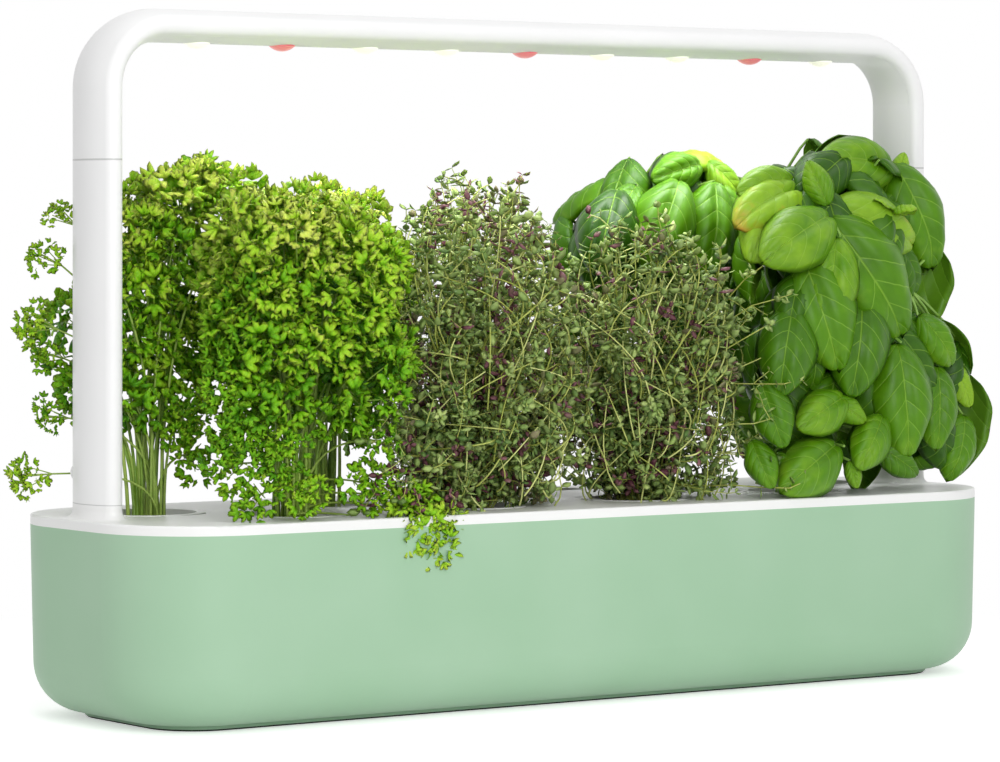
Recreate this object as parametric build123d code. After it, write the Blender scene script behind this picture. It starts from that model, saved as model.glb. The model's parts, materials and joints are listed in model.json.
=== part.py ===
from build123d import *
import math
import os

# Indoor herb planter: a water tub, a lid with nine cups of herbs, and a lamp on two arms.
# Frame in mm: X runs along the tub, -Y is the front, +Z is up.
# The origin is on the floor, under the middle of the tub.

# Tub
tub_length = 620.0
tub_depth = 185.0
tub_corner_radius = 62.0
rim_height = 109.5            # floor to the tub's rim
tub_wall = 2.4
tub_draft = 2.3               # how far the outside leans in from the rim to the foot
tub_bottom_radius = 29.0      # round between the side and the bottom
plinth_inset = 30.8           # the recessed plinth, measured in from the rim's outline
plinth_height = 3.0
plinth_wall = 6.0
foot_width = 3.6              # rubber foot ring, let into the plinth's underside
foot_stand_off = 1.0
foot_groove_depth = 0.8

# Lid
lid_height = 5.6              # its side band, from the rim up
lid_thickness = 3.0
lid_wall = 2.4
lid_edge_radius = 1.2
lip_depth = 6.0               # locating lip inside the tub
lip_thickness = 2.0
lip_clearance = 0.6

# Cups, in a zigzag of two rows
cup_count = 9
end_cup_inset = 49.5          # from each arm's axis to the nearest cup, along X
cup_row_offset = 29.0         # from the middle line to each row
cup_rim_radius = 33.0
cup_rim_thickness = 2.2
cup_mouth_radius = 28.0       # inside, at the top
cup_foot_radius = 20.0        # inside, at the bottom
cup_depth = 60.0
cup_wall = 1.3
cup_clearance = 0.5
dish_radius = 36.5            # shallow dish in the lid round each cup
dish_depth = 0.8
rim_seat_depth = 1.2
collar_wall = 1.8
collar_depth = 9.0
soil_clearance = 0.35
soil_drop = 4.0               # soil below the cup's top
wick_width = 15.0
wick_thickness = 2.4
wick_clearance = 0.2
wick_floor_gap = 3.0

# Arms: an oval section that the lid's bosses and the lamp share
arm_width = 19.0              # along X
arm_depth = 43.0              # along Y
arm_end_radius = 6.0
arm_inset = 16.5              # from the tub's end to the arm's axis
arm_wall = 2.6
boss_height = 8.1             # from the lid's top to the seam between the boss and the arm
boss_flare = 5.0
boss_floor = 2.4
arm_length = 191.6            # from that seam to the one between the arm and the lamp
spigot_length = 12.0
spigot_clearance = 0.3
wire_bore_radius = 3.5
pin_radius = 1.1
pin_length = 2.5
pin_place = 7.0               # from the arm's axis, along Y
pin_gap = 0.5                 # under the pins, inside the socket

# Power inlet, in the back end of the left arm
inlet_rise = 16.8             # above the arm's lower seam
inlet_radius = 5.0
inlet_length = 12.0
inlet_bore_radius = 2.8
inlet_bore_depth = 9.0
inlet_pin_radius = 0.9
inlet_pin_length = 7.0

# Lamp
lamp_height = 85.2            # from its seams on the arms to its top
lamp_bend_radius = 45.0       # outside of its two corners
cover_leg = 2.0               # straight end of the inner cover on each leg, below the bend
cover_inset = 4.5             # from the front and back of the section to the cover's edges
cover_thickness = 2.0
cover_clearance = 0.15

# Light source, held in the lamp's channel
led_count = 9
end_led_inset = 64.5          # from each arm's axis to the nearest light
lens_radius = 7.5
lens_drop = 3.0               # how far a lens stands out below the cover
lens_flange_radius = 9.0
lens_flange_thickness = 1.2
lens_clearance = 0.15
board_thickness = 1.6
board_side_gap = 7.0          # from the cover's edges to the board's
board_end_margin = 14.0
board_stand_off = 2.0
chip_size = 5.0
chip_height = 0.9
screw_count = 6
screw_radius = 1.4
screw_head_radius = 2.6
screw_head_height = 1.6
screw_boss_radius = 3.4

# Fill slot and water-level float, behind the first front cup right of the middle
fill_inset = 28.5             # from the tub's back to the slot's middle
fill_length = 56.0
fill_width = 24.0             # also the bore of the float's cage
float_height = 18.0
float_stem_radius = 3.0
float_travel = 28.0
float_tip_radius = 7.0
float_tip_thickness = 3.0
float_proud = 2.0             # how far the tip stands above the lid when the tub is full
cage_clearance = 0.8
cage_wall = 1.6
cage_window_width = 12.0
cage_ledge = 2.5
cage_seat_gap = 0.3

# Herbs
plant_gap = 3.0               # between one herb's space and the next
stem_radius = 15.0
stem_height = 7.0             # bunched stems above the soil, up to the lowest leaves
parsley_height = 204.0        # above the soil
thyme_height = 178.0
basil_height = 221.0
basil_reach = 127.0           # front basil, past its cup towards the right end
parsley_reach = 66.0          # left parsley, past its cup and behind the arm

overrun = 1.0                 # cuts run this far past what they cut

# Places that follow from the sizes
arm_place = tub_length / 2 - arm_inset
cup_pitch = 2 * (arm_place - end_cup_inset) / (cup_count - 1)
led_pitch = 2 * (arm_place - end_led_inset) / (led_count - 1)
fill_place_x = cup_pitch
fill_place_y = tub_depth / 2 - fill_inset
lid_top = rim_height + lid_height
lid_under = lid_top - lid_thickness
tub_floor = plinth_height + tub_wall
rim_seat = lid_top - dish_depth - rim_seat_depth
cup_top = rim_seat + cup_rim_thickness
cup_bottom = cup_top - cup_depth
soil_top = cup_top - soil_drop
boss_top = lid_top + boss_height
seam_height = boss_top + arm_length
inlet_height = boss_top + inlet_rise
lamp_top = seam_height + lamp_height
beam_middle = lamp_top - arm_width / 2
beam_bottom = lamp_top - arm_width
path_radius = lamp_bend_radius - arm_width / 2
cover_seam_height = beam_middle - path_radius - cover_leg
cover_half_width = arm_depth / 2 - cover_inset
board_half_width = cover_half_width - board_side_gap
socket_depth = spigot_length + pin_length + pin_gap
board_top = beam_middle - board_stand_off
board_bottom = board_top - board_thickness
board_length = (led_count - 1) * led_pitch + 2 * board_end_margin
float_radius = fill_width / 2 - cage_clearance


def cup_centres():
    """Centres of the cups from left to right; every second one is in the front row."""
    centres = []
    for index in range(cup_count):
        x = (index - (cup_count - 1) / 2) * cup_pitch
        row = 1 if index % 2 == 0 else -1
        centres.append((x, row * cup_row_offset))
    return centres


def at(x, y, z):
    """A level plane at a place."""
    return Plane(origin=(x, y, z))


def disc(x, y, low, high, radius):
    """An upright round bar."""
    return extrude(at(x, y, low) * Circle(radius), high - low)


def tub_outline(inset):
    """Plan of the tub, drawn in by the inset."""
    return RectangleRounded(
        tub_length - 2 * inset, tub_depth - 2 * inset, tub_corner_radius - inset
    )


def tub_form(inset, low):
    """Tapered tub shape from a height up to the rim, with its rounded bottom edge."""
    foot = at(0, 0, low) * tub_outline(inset + tub_draft)
    mouth = at(0, 0, rim_height) * tub_outline(inset)
    form = loft([foot, mouth], ruled=True)
    return fillet(form.faces().sort_by(Axis.Z)[0].edges(), tub_bottom_radius - inset)


def plan_ring(inset, width, low, high):
    """A closed ring that follows the tub's plan."""
    ring = tub_outline(inset) - tub_outline(inset + width)
    return extrude(at(0, 0, low) * ring, high - low)


def make_tub():
    """Water tub: drafted shell, recessed plinth and the groove for its foot ring."""
    tub = tub_form(0, plinth_height) - tub_form(tub_wall, tub_floor)
    tub += plan_ring(plinth_inset, plinth_wall, foot_stand_off, plinth_height + tub_wall / 2)
    groove_inset = plinth_inset + (plinth_wall - foot_width) / 2
    tub -= plan_ring(groove_inset, foot_width, foot_stand_off, foot_stand_off + foot_groove_depth)
    return tub


def make_foot_ring():
    """Rubber ring that the tub stands on."""
    inset = plinth_inset + (plinth_wall - foot_width) / 2
    return plan_ring(inset, foot_width, 0, foot_stand_off + foot_groove_depth)


def side_radius_of(half_width, end_radius):
    """Radius of a side arc that meets both end arcs smoothly."""
    end_place = arm_depth / 2 - arm_end_radius
    return (half_width**2 + end_place**2 - end_radius**2) / (2 * (half_width - end_radius))


def side_fall(inset, across):
    """How far a side arc falls away from its crown, at a distance across from the middle."""
    radius = side_radius_of(arm_width / 2 - inset, arm_end_radius - inset)
    return radius - math.sqrt(radius**2 - across**2)


def oval(inset=0):
    """Arm section: two shallow side arcs joined by two small end arcs."""
    half_width = arm_width / 2 - inset
    end_radius = arm_end_radius - inset
    end_place = arm_depth / 2 - arm_end_radius
    side_radius = side_radius_of(half_width, end_radius)
    side_place = side_radius - half_width
    turn = math.atan2(end_place, side_place)
    corner_x = side_radius * math.cos(turn) - side_place
    corner_y = side_radius * math.sin(turn)
    tip = end_place + end_radius
    return make_face(
        [
            ThreePointArc((corner_x, -corner_y), (half_width, 0), (corner_x, corner_y)),
            ThreePointArc((corner_x, corner_y), (0, tip), (-corner_x, corner_y)),
            ThreePointArc((-corner_x, corner_y), (-half_width, 0), (-corner_x, -corner_y)),
            ThreePointArc((-corner_x, -corner_y), (0, -tip), (corner_x, -corner_y)),
        ]
    )


def oval_bar(x, low, high, inset=0):
    """Upright bar of the arm's section."""
    return extrude(at(x, 0, low) * oval(inset), high - low)


def fill_slot(low, high, grow=0):
    """Slot that water is poured into."""
    plan = SlotOverall(fill_length + 2 * grow, fill_width + 2 * grow)
    return extrude(at(fill_place_x, fill_place_y, low) * plan, high - low)


def float_centre_x():
    """The float stands in the slot's left end."""
    return fill_place_x - (fill_length - fill_width) / 2


def float_low():
    """Underside of the float when the tub is empty."""
    tip_top = lid_top + float_proud - float_travel
    return tip_top - float_tip_thickness - float_travel - float_height + cage_ledge


def float_cage():
    """Round cage under the lid that guides the float, with open windows and a bottom ledge."""
    x = float_centre_x()
    inner = fill_width / 2
    outer = inner + cage_wall
    low = float_low() - cage_seat_gap - cage_ledge
    cage = disc(x, fill_place_y, low, lid_under, outer)
    cage -= disc(x, fill_place_y, low + cage_ledge, lid_under, inner)
    cage -= disc(x, fill_place_y, low, low + cage_ledge, inner - cage_ledge)
    window_low = low + cage_ledge + cage_wall
    window_high = lid_under - collar_depth
    window = at(x, fill_place_y, window_low) * Rectangle(cage_window_width, 2 * (outer + overrun))
    return cage - extrude(window, window_high - window_low)


def arm_boss(x):
    """Outside of a boss that carries an arm, from under the lid up to the seam."""
    return oval_bar(x, boss_top - socket_depth - boss_floor, boss_top)


def make_lid():
    """Lid: flat top with a side band, a locating lip, nine cup seats, the fill slot and two bosses."""
    lid = extrude(at(0, 0, rim_height) * tub_outline(0), lid_height)
    lid = fillet(lid.faces().sort_by(Axis.Z)[-1].edges(), lid_edge_radius)
    lid -= extrude(at(0, 0, rim_height) * tub_outline(lid_wall), lid_height - lid_thickness)
    lid += plan_ring(tub_wall + lip_clearance, lip_thickness, rim_height - lip_depth, lid_under)
    hole_radius = cup_mouth_radius + cup_wall + cup_clearance
    for x, y in cup_centres():
        collar = disc(x, y, lid_under - collar_depth, lid_under, hole_radius + collar_wall)
        dish = at(x, y, lid_top - dish_depth) * Circle(cup_rim_radius + cup_clearance)
        dish = loft([dish, at(x, y, lid_top) * Circle(dish_radius)])
        seat = disc(x, y, rim_seat, lid_top, cup_rim_radius + cup_clearance)
        hole = disc(x, y, lid_under - collar_depth, lid_top, hole_radius)
        lid = lid + collar - dish - seat - hole
    lid += fill_slot(lid_under - collar_depth / 2, lid_under, cage_wall)
    lid += float_cage()
    lid -= fill_slot(lid_under - collar_depth / 2, lid_top)
    for side in (-1, 1):
        x = side * arm_place
        lid += arm_boss(x)
        foot = lid.edges().filter_by_position(Axis.Z, lid_top, lid_top)
        foot = [edge for edge in foot if abs(edge.center().X - x) < arm_width]
        foot = [edge for edge in foot if abs(edge.center().Y) < arm_depth / 2 + boss_flare]
        lid = fillet(foot, boss_flare)
        lid -= oval_bar(x, boss_top - socket_depth, boss_top, arm_wall)
    return lid


def make_float():
    """Water-level float, shown at its lowest: a round float, a stem and the tip seen from above."""
    x = float_centre_x()
    y = fill_place_y
    low = float_low()
    tip_top = lid_top + float_proud - float_travel
    body = disc(x, y, low, low + float_height, float_radius)
    body = chamfer(body.edges(), float_stem_radius / 2)
    body += disc(x, y, low + float_height - overrun, tip_top, float_stem_radius)
    return body + disc(x, y, tip_top - float_tip_thickness, tip_top, float_tip_radius)


def make_cup(x, y):
    """Tapered cup with a flat rim, and a slot in its floor for the wick."""
    profile = Polyline(
        (0, cup_bottom),
        (cup_foot_radius + cup_wall, cup_bottom),
        (cup_mouth_radius + cup_wall, rim_seat),
        (cup_rim_radius, rim_seat),
        (cup_rim_radius, cup_top),
        (cup_mouth_radius, cup_top),
        (cup_foot_radius, cup_bottom + cup_wall),
        (0, cup_bottom + cup_wall),
        close=True,
    )
    cup = revolve(Plane.XZ * make_face(profile), Axis.Z)
    slot = Rectangle(wick_width + 2 * wick_clearance, wick_thickness + 2 * wick_clearance)
    cup -= extrude(at(0, 0, cup_bottom) * slot, cup_wall)
    return Location((x, y, 0)) * cup


def make_soil(x, y):
    """Plug of growing soil that fills the cup."""
    slope = (cup_mouth_radius - cup_foot_radius) / (cup_depth - cup_wall)
    low = cup_bottom + cup_wall
    top_radius = cup_mouth_radius - soil_clearance - slope * soil_drop
    foot = at(x, y, low) * Circle(cup_foot_radius - soil_clearance)
    return loft([foot, at(x, y, soil_top) * Circle(top_radius)])


def make_wick(x, y):
    """Felt strip that draws water up to the soil."""
    low = tub_floor + wick_floor_gap
    strip = at(x, y, low) * Rectangle(wick_width, wick_thickness)
    return extrude(strip, cup_bottom + cup_wall - low)


# Each row of a herb's form is a share of its height, and then how far the leaves reach to the left,
# right, front and back there, as shares of the room on that side of the cup. A share below zero
# means that the leaves there lean over to the other side.
parsley_1_form_shares = [
    (0.14, 0.3, 0.35, 0.8, 0.35),
    (0.34, 0.7, 0.75, 1, 0.75),
    (0.5, 0.9, 1, 1, 0.98),
    (0.74, 0.65, 1, 1, 0.95),
    (0.88, 0.3, 0.97, 0.8, 0.7),
    (1, -0.35, 0.85, 0, 0.35),
]
parsley_2_form_shares = [
    (0.12, 0.45, 0.35, 0.4, 0.4),
    (0.3, 0.85, 0.75, 0.8, 0.75),
    (0.48, 1, 1, 0.97, 1),
    (0.72, 1, 0.98, 0.95, 1),
    (0.86, 0.8, 0.7, 0.7, 0.8),
    (0.93, 0.5, 0.35, 0.4, 0.5),
]
parsley_3_form_shares = [
    (0.12, 0.35, 0.35, 0.4, 0.4),
    (0.28, 0.75, 0.6, 0.75, 0.75),
    (0.46, 1, 0.9, 1, 0.98),
    (0.62, 1, 1, 1, 1),
    (0.78, 0.95, 0.7, 0.9, 0.9),
    (0.92, 0.7, 0.1, 0.5, 0.5),
]
thyme_1_form_shares = [
    (0.09, 0.8, 0.8, 0.8, 0.8),
    (0.22, 1, 1, 0.97, 1),
    (0.45, 0.97, 1, 1, 1),
    (0.7, 0.95, 0.97, 0.92, 1),
    (0.86, 0.7, 0.8, 0.7, 0.85),
    (0.95, 0.4, 0.5, 0.35, 0.5),
]
thyme_2_form_shares = [
    (0.09, 0.8, 0.8, 0.8, 0.8),
    (0.22, 1, 1, 1, 0.97),
    (0.45, 1, 0.97, 1, 1),
    (0.74, 1, 0.95, 1, 0.92),
    (0.9, 0.8, 0.6, 0.8, 0.7),
    (1, 0.5, 0.3, 0.45, 0.35),
]
thyme_3_form_shares = [
    (0.09, 0.8, 0.8, 0.8, 0.8),
    (0.22, 1, 1, 0.97, 1),
    (0.45, 1, 1, 1, 1),
    (0.66, 0.97, 0.95, 0.92, 1),
    (0.79, 0.75, 0.65, 0.65, 0.8),
    (0.86, 0.4, 0.3, 0.3, 0.45),
]
basil_1_form_shares = [
    (0.12, 0.6, 0.6, 0.6, 0.6),
    (0.28, 0.95, 0.95, 0.95, 0.95),
    (0.5, 0.85, 0.9, 0.9, 0.95),
    (0.7, 1, 1, 1, 1),
    (0.86, 0.7, 0.97, 0.85, 0.8),
    (0.95, 0, 0.7, 0.45, 0.4),
]
basil_2_form_shares = [
    (0.08, 0.75, 0.85, 0.8, 1),
    (0.18, 0.95, 0.95, 0.98, 1),
    (0.34, 1, 1, 1, 1),
    (0.54, 1, 0.75, 0.97, 1),
    (0.76, 0.97, 0.76, 0.9, 1),
    (0.92, 0.6, 0.52, 0.6, 1),
    (0.99, 0.1, 0.32, 0.2, 0.6),
]
basil_3_form_shares = [
    (0.1, 0.6, 0.8, 0.6, 0.6),
    (0.28, 1, 1, 0.95, 0.95),
    (0.6, 1, 1, 1, 1),
    (0.82, 0.85, 0.97, 0.85, 0.85),
    (0.94, 0.4, 0.7, 0.5, 0.5),
]
leaf_push_shares = [1, 0.96, 1, 0.92, 0.98, 1, 0.94, 1, 0.97, 1, 0.95, 0.98]


def many_sided(left, right, front, back, z):
    """Rough outline of a mass of leaves: an oval ring of points, each pushed in by its share."""
    middle_x = (left + right) / 2
    middle_y = (front + back) / 2
    points = []
    for index, share in enumerate(leaf_push_shares):
        angle = 2 * math.pi * (index + 1 / 2) / len(leaf_push_shares)
        x = middle_x + (right - left) / 2 * share * math.cos(angle)
        y = middle_y + (back - front) / 2 * share * math.sin(angle)
        points.append((x, y))
    return at(0, 0, z) * make_face(Polyline(*points, close=True))


def make_herb(place, space, height, form_shares):
    """Closed mass of one herb: bunched stems out of the cup, then the swell of its leaves."""
    x, y = place
    left, right, front, back = space
    sections = []
    for z in (soil_top, soil_top + stem_height):
        reach = stem_radius
        sections.append(many_sided(x - reach, x + reach, y - reach, y + reach, z))
    for rise, to_left, to_right, to_front, to_back in form_shares:
        section = many_sided(
            x - (x - left) * to_left,
            x + (right - x) * to_right,
            y - (y - front) * to_front,
            y + (back - y) * to_back,
            soil_top + height * rise,
        )
        sections.append(section)
    return loft(sections, ruled=True)


def herb_spaces():
    """Left, right, front and back limits of each herb, clear of its neighbours and of the arms."""
    inner_face = arm_place - arm_width / 2 - plant_gap
    beside_arm = arm_depth / 2 + plant_gap
    places = cup_centres()
    spaces = []
    for x, y in places:
        left = max(x - cup_pitch, -inner_face) + plant_gap / 2
        right = min(x + cup_pitch, inner_face) - plant_gap / 2
        if y < 0:
            spaces.append([left, right, -tub_depth / 2, -plant_gap / 2])
        else:
            spaces.append([left, right, plant_gap / 2, tub_depth / 2])
    spaces[0][0] = places[0][0] - parsley_reach
    spaces[0][2] = beside_arm
    front_basil = len(places) - 2
    spaces[front_basil][1] = places[front_basil][0] + basil_reach
    spaces[front_basil][3] = -beside_arm
    return spaces


def make_herbs():
    """All nine herbs by name: three of parsley, three of thyme and three of basil."""
    herbs = [
        ("parsley_1", parsley_height, parsley_1_form_shares),
        ("parsley_2", parsley_height, parsley_2_form_shares),
        ("parsley_3", parsley_height, parsley_3_form_shares),
        ("thyme_1", thyme_height, thyme_1_form_shares),
        ("thyme_2", thyme_height, thyme_2_form_shares),
        ("thyme_3", thyme_height, thyme_3_form_shares),
        ("basil_1", basil_height, basil_1_form_shares),
        ("basil_2", basil_height, basil_2_form_shares),
        ("basil_3", basil_height, basil_3_form_shares),
    ]
    made = {}
    for place, space, (name, height, form_shares) in zip(cup_centres(), herb_spaces(), herbs):
        made[name] = make_herb(place, space, height, form_shares)
    return made


def make_arm(side):
    """Hollow arm with a spigot at its foot and a socket for the lamp at its top."""
    x = side * arm_place
    arm = oval_bar(x, boss_top, seam_height)
    arm += oval_bar(x, boss_top - spigot_length, boss_top, arm_wall + spigot_clearance)
    arm -= oval_bar(x, seam_height - socket_depth, seam_height, arm_wall)
    arm -= disc(x, 0, boss_top - spigot_length, seam_height, wire_bore_radius)
    if side < 0:
        bore = Plane(origin=(x, arm_depth / 2, inlet_height), x_dir=(1, 0, 0), z_dir=(0, -1, 0))
        arm -= extrude(bore * Circle(inlet_radius), inlet_length)
    return arm


def make_power_inlet():
    """Low-voltage inlet in the back of the left arm: a barrel with its centre pin."""
    back = arm_depth / 2
    face = Plane(
        origin=(-arm_place, back, inlet_height), x_dir=(1, 0, 0), z_dir=(0, -1, 0)
    )
    barrel = extrude(face * Circle(inlet_radius), inlet_length)
    barrel -= extrude(face * Circle(inlet_bore_radius), inlet_bore_depth)
    pin = face.offset(inlet_bore_depth - inlet_pin_length) * Circle(inlet_pin_radius)
    return barrel + extrude(pin, inlet_pin_length)


def contact_pins(spigot_end):
    """Contact pins under the left and right spigots, two on each side."""
    pins = []
    for side in (-1, 1):
        for end in (-1, 1):
            x = side * arm_place
            y = end * pin_place
            pins.append(disc(x, y, spigot_end - pin_length, spigot_end, pin_radius))
    return Compound(pins)


def lamp_path(low):
    """Middle line of the lamp, from a height on the left leg over to the right leg."""
    return FilletPolyline(
        (-arm_place, 0, low),
        (-arm_place, 0, beam_middle),
        (arm_place, 0, beam_middle),
        (arm_place, 0, low),
        radius=path_radius,
    )


def cover_section():
    """Curved strip on the inner side of the section."""
    strip = oval() - oval(cover_thickness)
    inner_side = Pos(arm_width / 2, 0) * Rectangle(arm_width, 2 * cover_half_width)
    return strip & inner_side


def led_places():
    """X of each light, from left to right."""
    return [(index - (led_count - 1) / 2) * led_pitch for index in range(led_count)]


def screw_places():
    """X of each screw: halfway between two lights, spread over the board."""
    lights = led_places()
    places = []
    for index in range(screw_count):
        light = round(index * (led_count - 2) / (screw_count - 1))
        places.append((lights[light] + lights[light + 1]) / 2)
    return places


def make_lamp_shell():
    """Outer shell of the lamp: an arch of the arm's section, with a channel along its inner side."""
    start = at(-arm_place, 0, seam_height)
    shell = sweep(start * oval(), path=lamp_path(seam_height))
    width = arm_width / 2 + overrun
    depth = 2 * (cover_half_width + cover_clearance)
    channel = Pos(width / 2, 0) * Rectangle(width, depth)
    start = at(-arm_place, 0, cover_seam_height)
    shell -= sweep(start * channel, path=lamp_path(cover_seam_height))
    for side in (-1, 1):
        x = side * arm_place
        spigot_low = seam_height - spigot_length
        shell += oval_bar(x, spigot_low, seam_height, arm_wall + spigot_clearance)
        shell -= disc(x, 0, spigot_low, cover_seam_height, wire_bore_radius)
    for x in screw_places():
        shell += disc(x, 0, board_top, beam_middle, screw_boss_radius)
        shell -= disc(x, 0, board_top, beam_middle, screw_radius)
    return shell


def make_lamp_cover():
    """Inner cover, flush in the channel, with a round hole for each lens."""
    start = at(-arm_place, 0, cover_seam_height)
    cover = sweep(start * cover_section(), path=lamp_path(cover_seam_height))
    for x in led_places():
        cover -= disc(x, 0, beam_bottom - overrun, beam_middle, lens_radius + lens_clearance)
    return cover


def make_lens(x):
    """Domed lens with a flange that rests on the cover from above."""
    low = beam_bottom - lens_drop
    flange_low = beam_bottom + cover_thickness + side_fall(cover_thickness, lens_flange_radius)
    sphere_radius = (lens_radius**2 + lens_drop**2) / (2 * lens_drop)
    dome = Pos(x, 0, low + sphere_radius) * Sphere(sphere_radius)
    dome &= disc(x, 0, low, beam_bottom, lens_radius)
    lens = dome + disc(x, 0, beam_bottom, flange_low, lens_radius)
    return lens + disc(x, 0, flange_low, flange_low + lens_flange_thickness, lens_flange_radius)


def make_board():
    """Long circuit board on the shell's screw bosses."""
    board = at(0, 0, board_bottom) * Rectangle(board_length, 2 * board_half_width)
    board = extrude(board, board_thickness)
    for x in screw_places():
        board -= disc(x, 0, board_bottom, board_top, screw_radius)
    return board


def make_chips():
    """One light chip over each lens."""
    chips = []
    for x in led_places():
        face = at(x, 0, board_bottom - chip_height) * Rectangle(chip_size, chip_size)
        chips.append(extrude(face, chip_height))
    return Compound(chips)


def make_screws():
    """Screws that hold the board to the shell."""
    screws = []
    for x in screw_places():
        screw = disc(x, 0, board_bottom, beam_middle, screw_radius)
        head_low = board_bottom - screw_head_height
        screw += disc(x, 0, head_low, board_bottom, screw_head_radius)
        screws.append(screw)
    return Compound(screws)


def make_parts():
    """Every piece by its node name."""
    parts = {
        "tub": make_tub(),
        "foot_ring": make_foot_ring(),
        "lid": make_lid(),
        "level_float": make_float(),
        "arm_left": make_arm(-1),
        "arm_right": make_arm(1),
        "arm_contacts": contact_pins(boss_top - spigot_length),
        "power_inlet": make_power_inlet(),
        "lamp_shell": make_lamp_shell(),
        "lamp_cover": make_lamp_cover(),
        "lamp_contacts": contact_pins(seam_height - spigot_length),
        "led_board": make_board(),
        "led_chips": make_chips(),
        "board_screws": make_screws(),
    }
    red_lenses = [1, led_count // 2, led_count - 2]
    lenses = [make_lens(x) for x in led_places()]
    parts["lenses_red"] = Compound([lenses[i] for i in red_lenses])
    parts["lenses_white"] = Compound([lenses[i] for i in range(led_count) if i not in red_lenses])
    for number, (x, y) in enumerate(cup_centres(), start=1):
        parts[f"cup_{number}"] = make_cup(x, y)
        parts[f"soil_{number}"] = make_soil(x, y)
        parts[f"wick_{number}"] = make_wick(x, y)
    parts.update(make_herbs())
    return parts


def main():
    os.makedirs("parts", exist_ok=True)
    for name, shape in make_parts().items():
        export_step(shape, f"parts/{name}.step")


main()
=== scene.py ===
import json
import math
import random

import bmesh
import bpy
import numpy as np
from mathutils import Matrix, Vector


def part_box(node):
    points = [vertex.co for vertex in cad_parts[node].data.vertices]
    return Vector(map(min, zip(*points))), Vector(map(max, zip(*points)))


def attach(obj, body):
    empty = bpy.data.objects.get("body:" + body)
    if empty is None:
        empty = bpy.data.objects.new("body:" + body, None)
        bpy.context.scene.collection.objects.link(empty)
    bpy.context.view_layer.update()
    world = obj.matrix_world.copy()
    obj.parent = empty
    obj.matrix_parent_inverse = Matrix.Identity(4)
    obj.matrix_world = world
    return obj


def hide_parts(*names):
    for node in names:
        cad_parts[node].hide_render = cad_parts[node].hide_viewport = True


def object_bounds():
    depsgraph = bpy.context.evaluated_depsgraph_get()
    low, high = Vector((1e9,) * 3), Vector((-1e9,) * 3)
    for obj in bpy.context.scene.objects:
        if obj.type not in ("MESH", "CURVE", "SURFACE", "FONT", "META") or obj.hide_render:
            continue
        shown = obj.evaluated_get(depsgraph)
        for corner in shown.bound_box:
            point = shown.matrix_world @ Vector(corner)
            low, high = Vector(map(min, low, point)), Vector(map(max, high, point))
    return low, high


bl_info = {
    "name": "Indoor herb planter",
    "version": (1, 0, 0),
    "blender": (4, 5, 0),
    "location": "3D View > Sidebar > Planter",
    "description": "Dresses an indoor herb planter: moulded tub, lamp, soil and nine herbs",
    "category": "Object",
}

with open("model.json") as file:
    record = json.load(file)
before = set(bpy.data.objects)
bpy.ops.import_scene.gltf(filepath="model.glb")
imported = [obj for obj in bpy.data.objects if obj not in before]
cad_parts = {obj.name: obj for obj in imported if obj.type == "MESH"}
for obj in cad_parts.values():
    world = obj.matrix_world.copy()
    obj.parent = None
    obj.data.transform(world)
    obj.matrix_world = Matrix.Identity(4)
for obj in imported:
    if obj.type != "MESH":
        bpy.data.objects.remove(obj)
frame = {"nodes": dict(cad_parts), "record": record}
cad_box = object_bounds()

MM = 0.001
GOLDEN_ANGLE = math.pi * (3 - math.sqrt(5))

# How far foliage may reach from the middle: the CAD box and a little more
REACH = Vector((cad_box[1].x + 10 * MM, cad_box[1].y + 3 * MM))

# Side of the object that faces the photograph's camera, and that view's left
PHOTO_SIDE = Vector((-0.58, -0.81, 0))
PHOTO_LEFT = Vector((-0.81, 0.58, 0))

# Which body carries each herb, and the cup that it grows in
HERB_CUPS = {}
for body_name, members in frame["record"]["behaviour"]["bodies"].items():
    for member in members:
        kind = member.split("_")[0]
        if kind in ("parsley", "thyme", "basil"):
            HERB_CUPS[member] = (body_name, [n for n in members if n.startswith("cup_")][0])


def linear(hex_colour):
    """Linear colour with alpha from an sRGB hex value."""
    channels = [int(hex_colour[i : i + 2], 16) / 255 for i in (1, 3, 5)]
    return tuple(c / 12.92 if c <= 0.04045 else ((c + 0.055) / 1.055) ** 2.4 for c in channels) + (1,)


def feed(tree, node, inputs):
    """Gives a node its inputs, by name or in their order. A node or a socket is linked, and a text
    that starts with # is an sRGB colour."""
    for key, value in inputs.items() if isinstance(inputs, dict) else enumerate(inputs):
        if isinstance(value, bpy.types.Node):
            value = next(socket for socket in value.outputs if socket.enabled)
        if isinstance(value, bpy.types.NodeSocket):
            tree.links.new(value, node.inputs[key])
        else:
            node.inputs[key].default_value = linear(value) if str(value).startswith("#") else value


def add(tree, kind, inputs=(), stops=(), **settings):
    """Adds a node with its settings and links. Stops are a colour ramp's places and colours."""
    node = tree.nodes.new(kind)
    for name, value in settings.items():
        setattr(node, name, value)
    feed(tree, node, inputs)
    for _ in stops[2:]:
        node.color_ramp.elements.new(1)
    for index, (place, colour) in enumerate(stops):
        node.color_ramp.elements[index].position = place
        node.color_ramp.elements[index].color = linear(colour)
    return node


def new_material(name):
    """Empty node material with its tree and its shader."""
    material = bpy.data.materials.new(name)
    material.use_nodes = True
    tree = material.node_tree
    shader = tree.nodes["Principled BSDF"]
    return material, tree, shader


def clouds(tree, size_mm, detail, roughness=0.5):
    """Cloudy pattern on the piece, whose clouds have a real size in millimetres."""
    place = add(tree, "ShaderNodeTexCoord").outputs["Object"]
    inputs = {"Vector": place, "Scale": 1 / (size_mm * MM), "Detail": detail, "Roughness": roughness}
    return add(tree, "ShaderNodeTexNoise", inputs)


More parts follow.
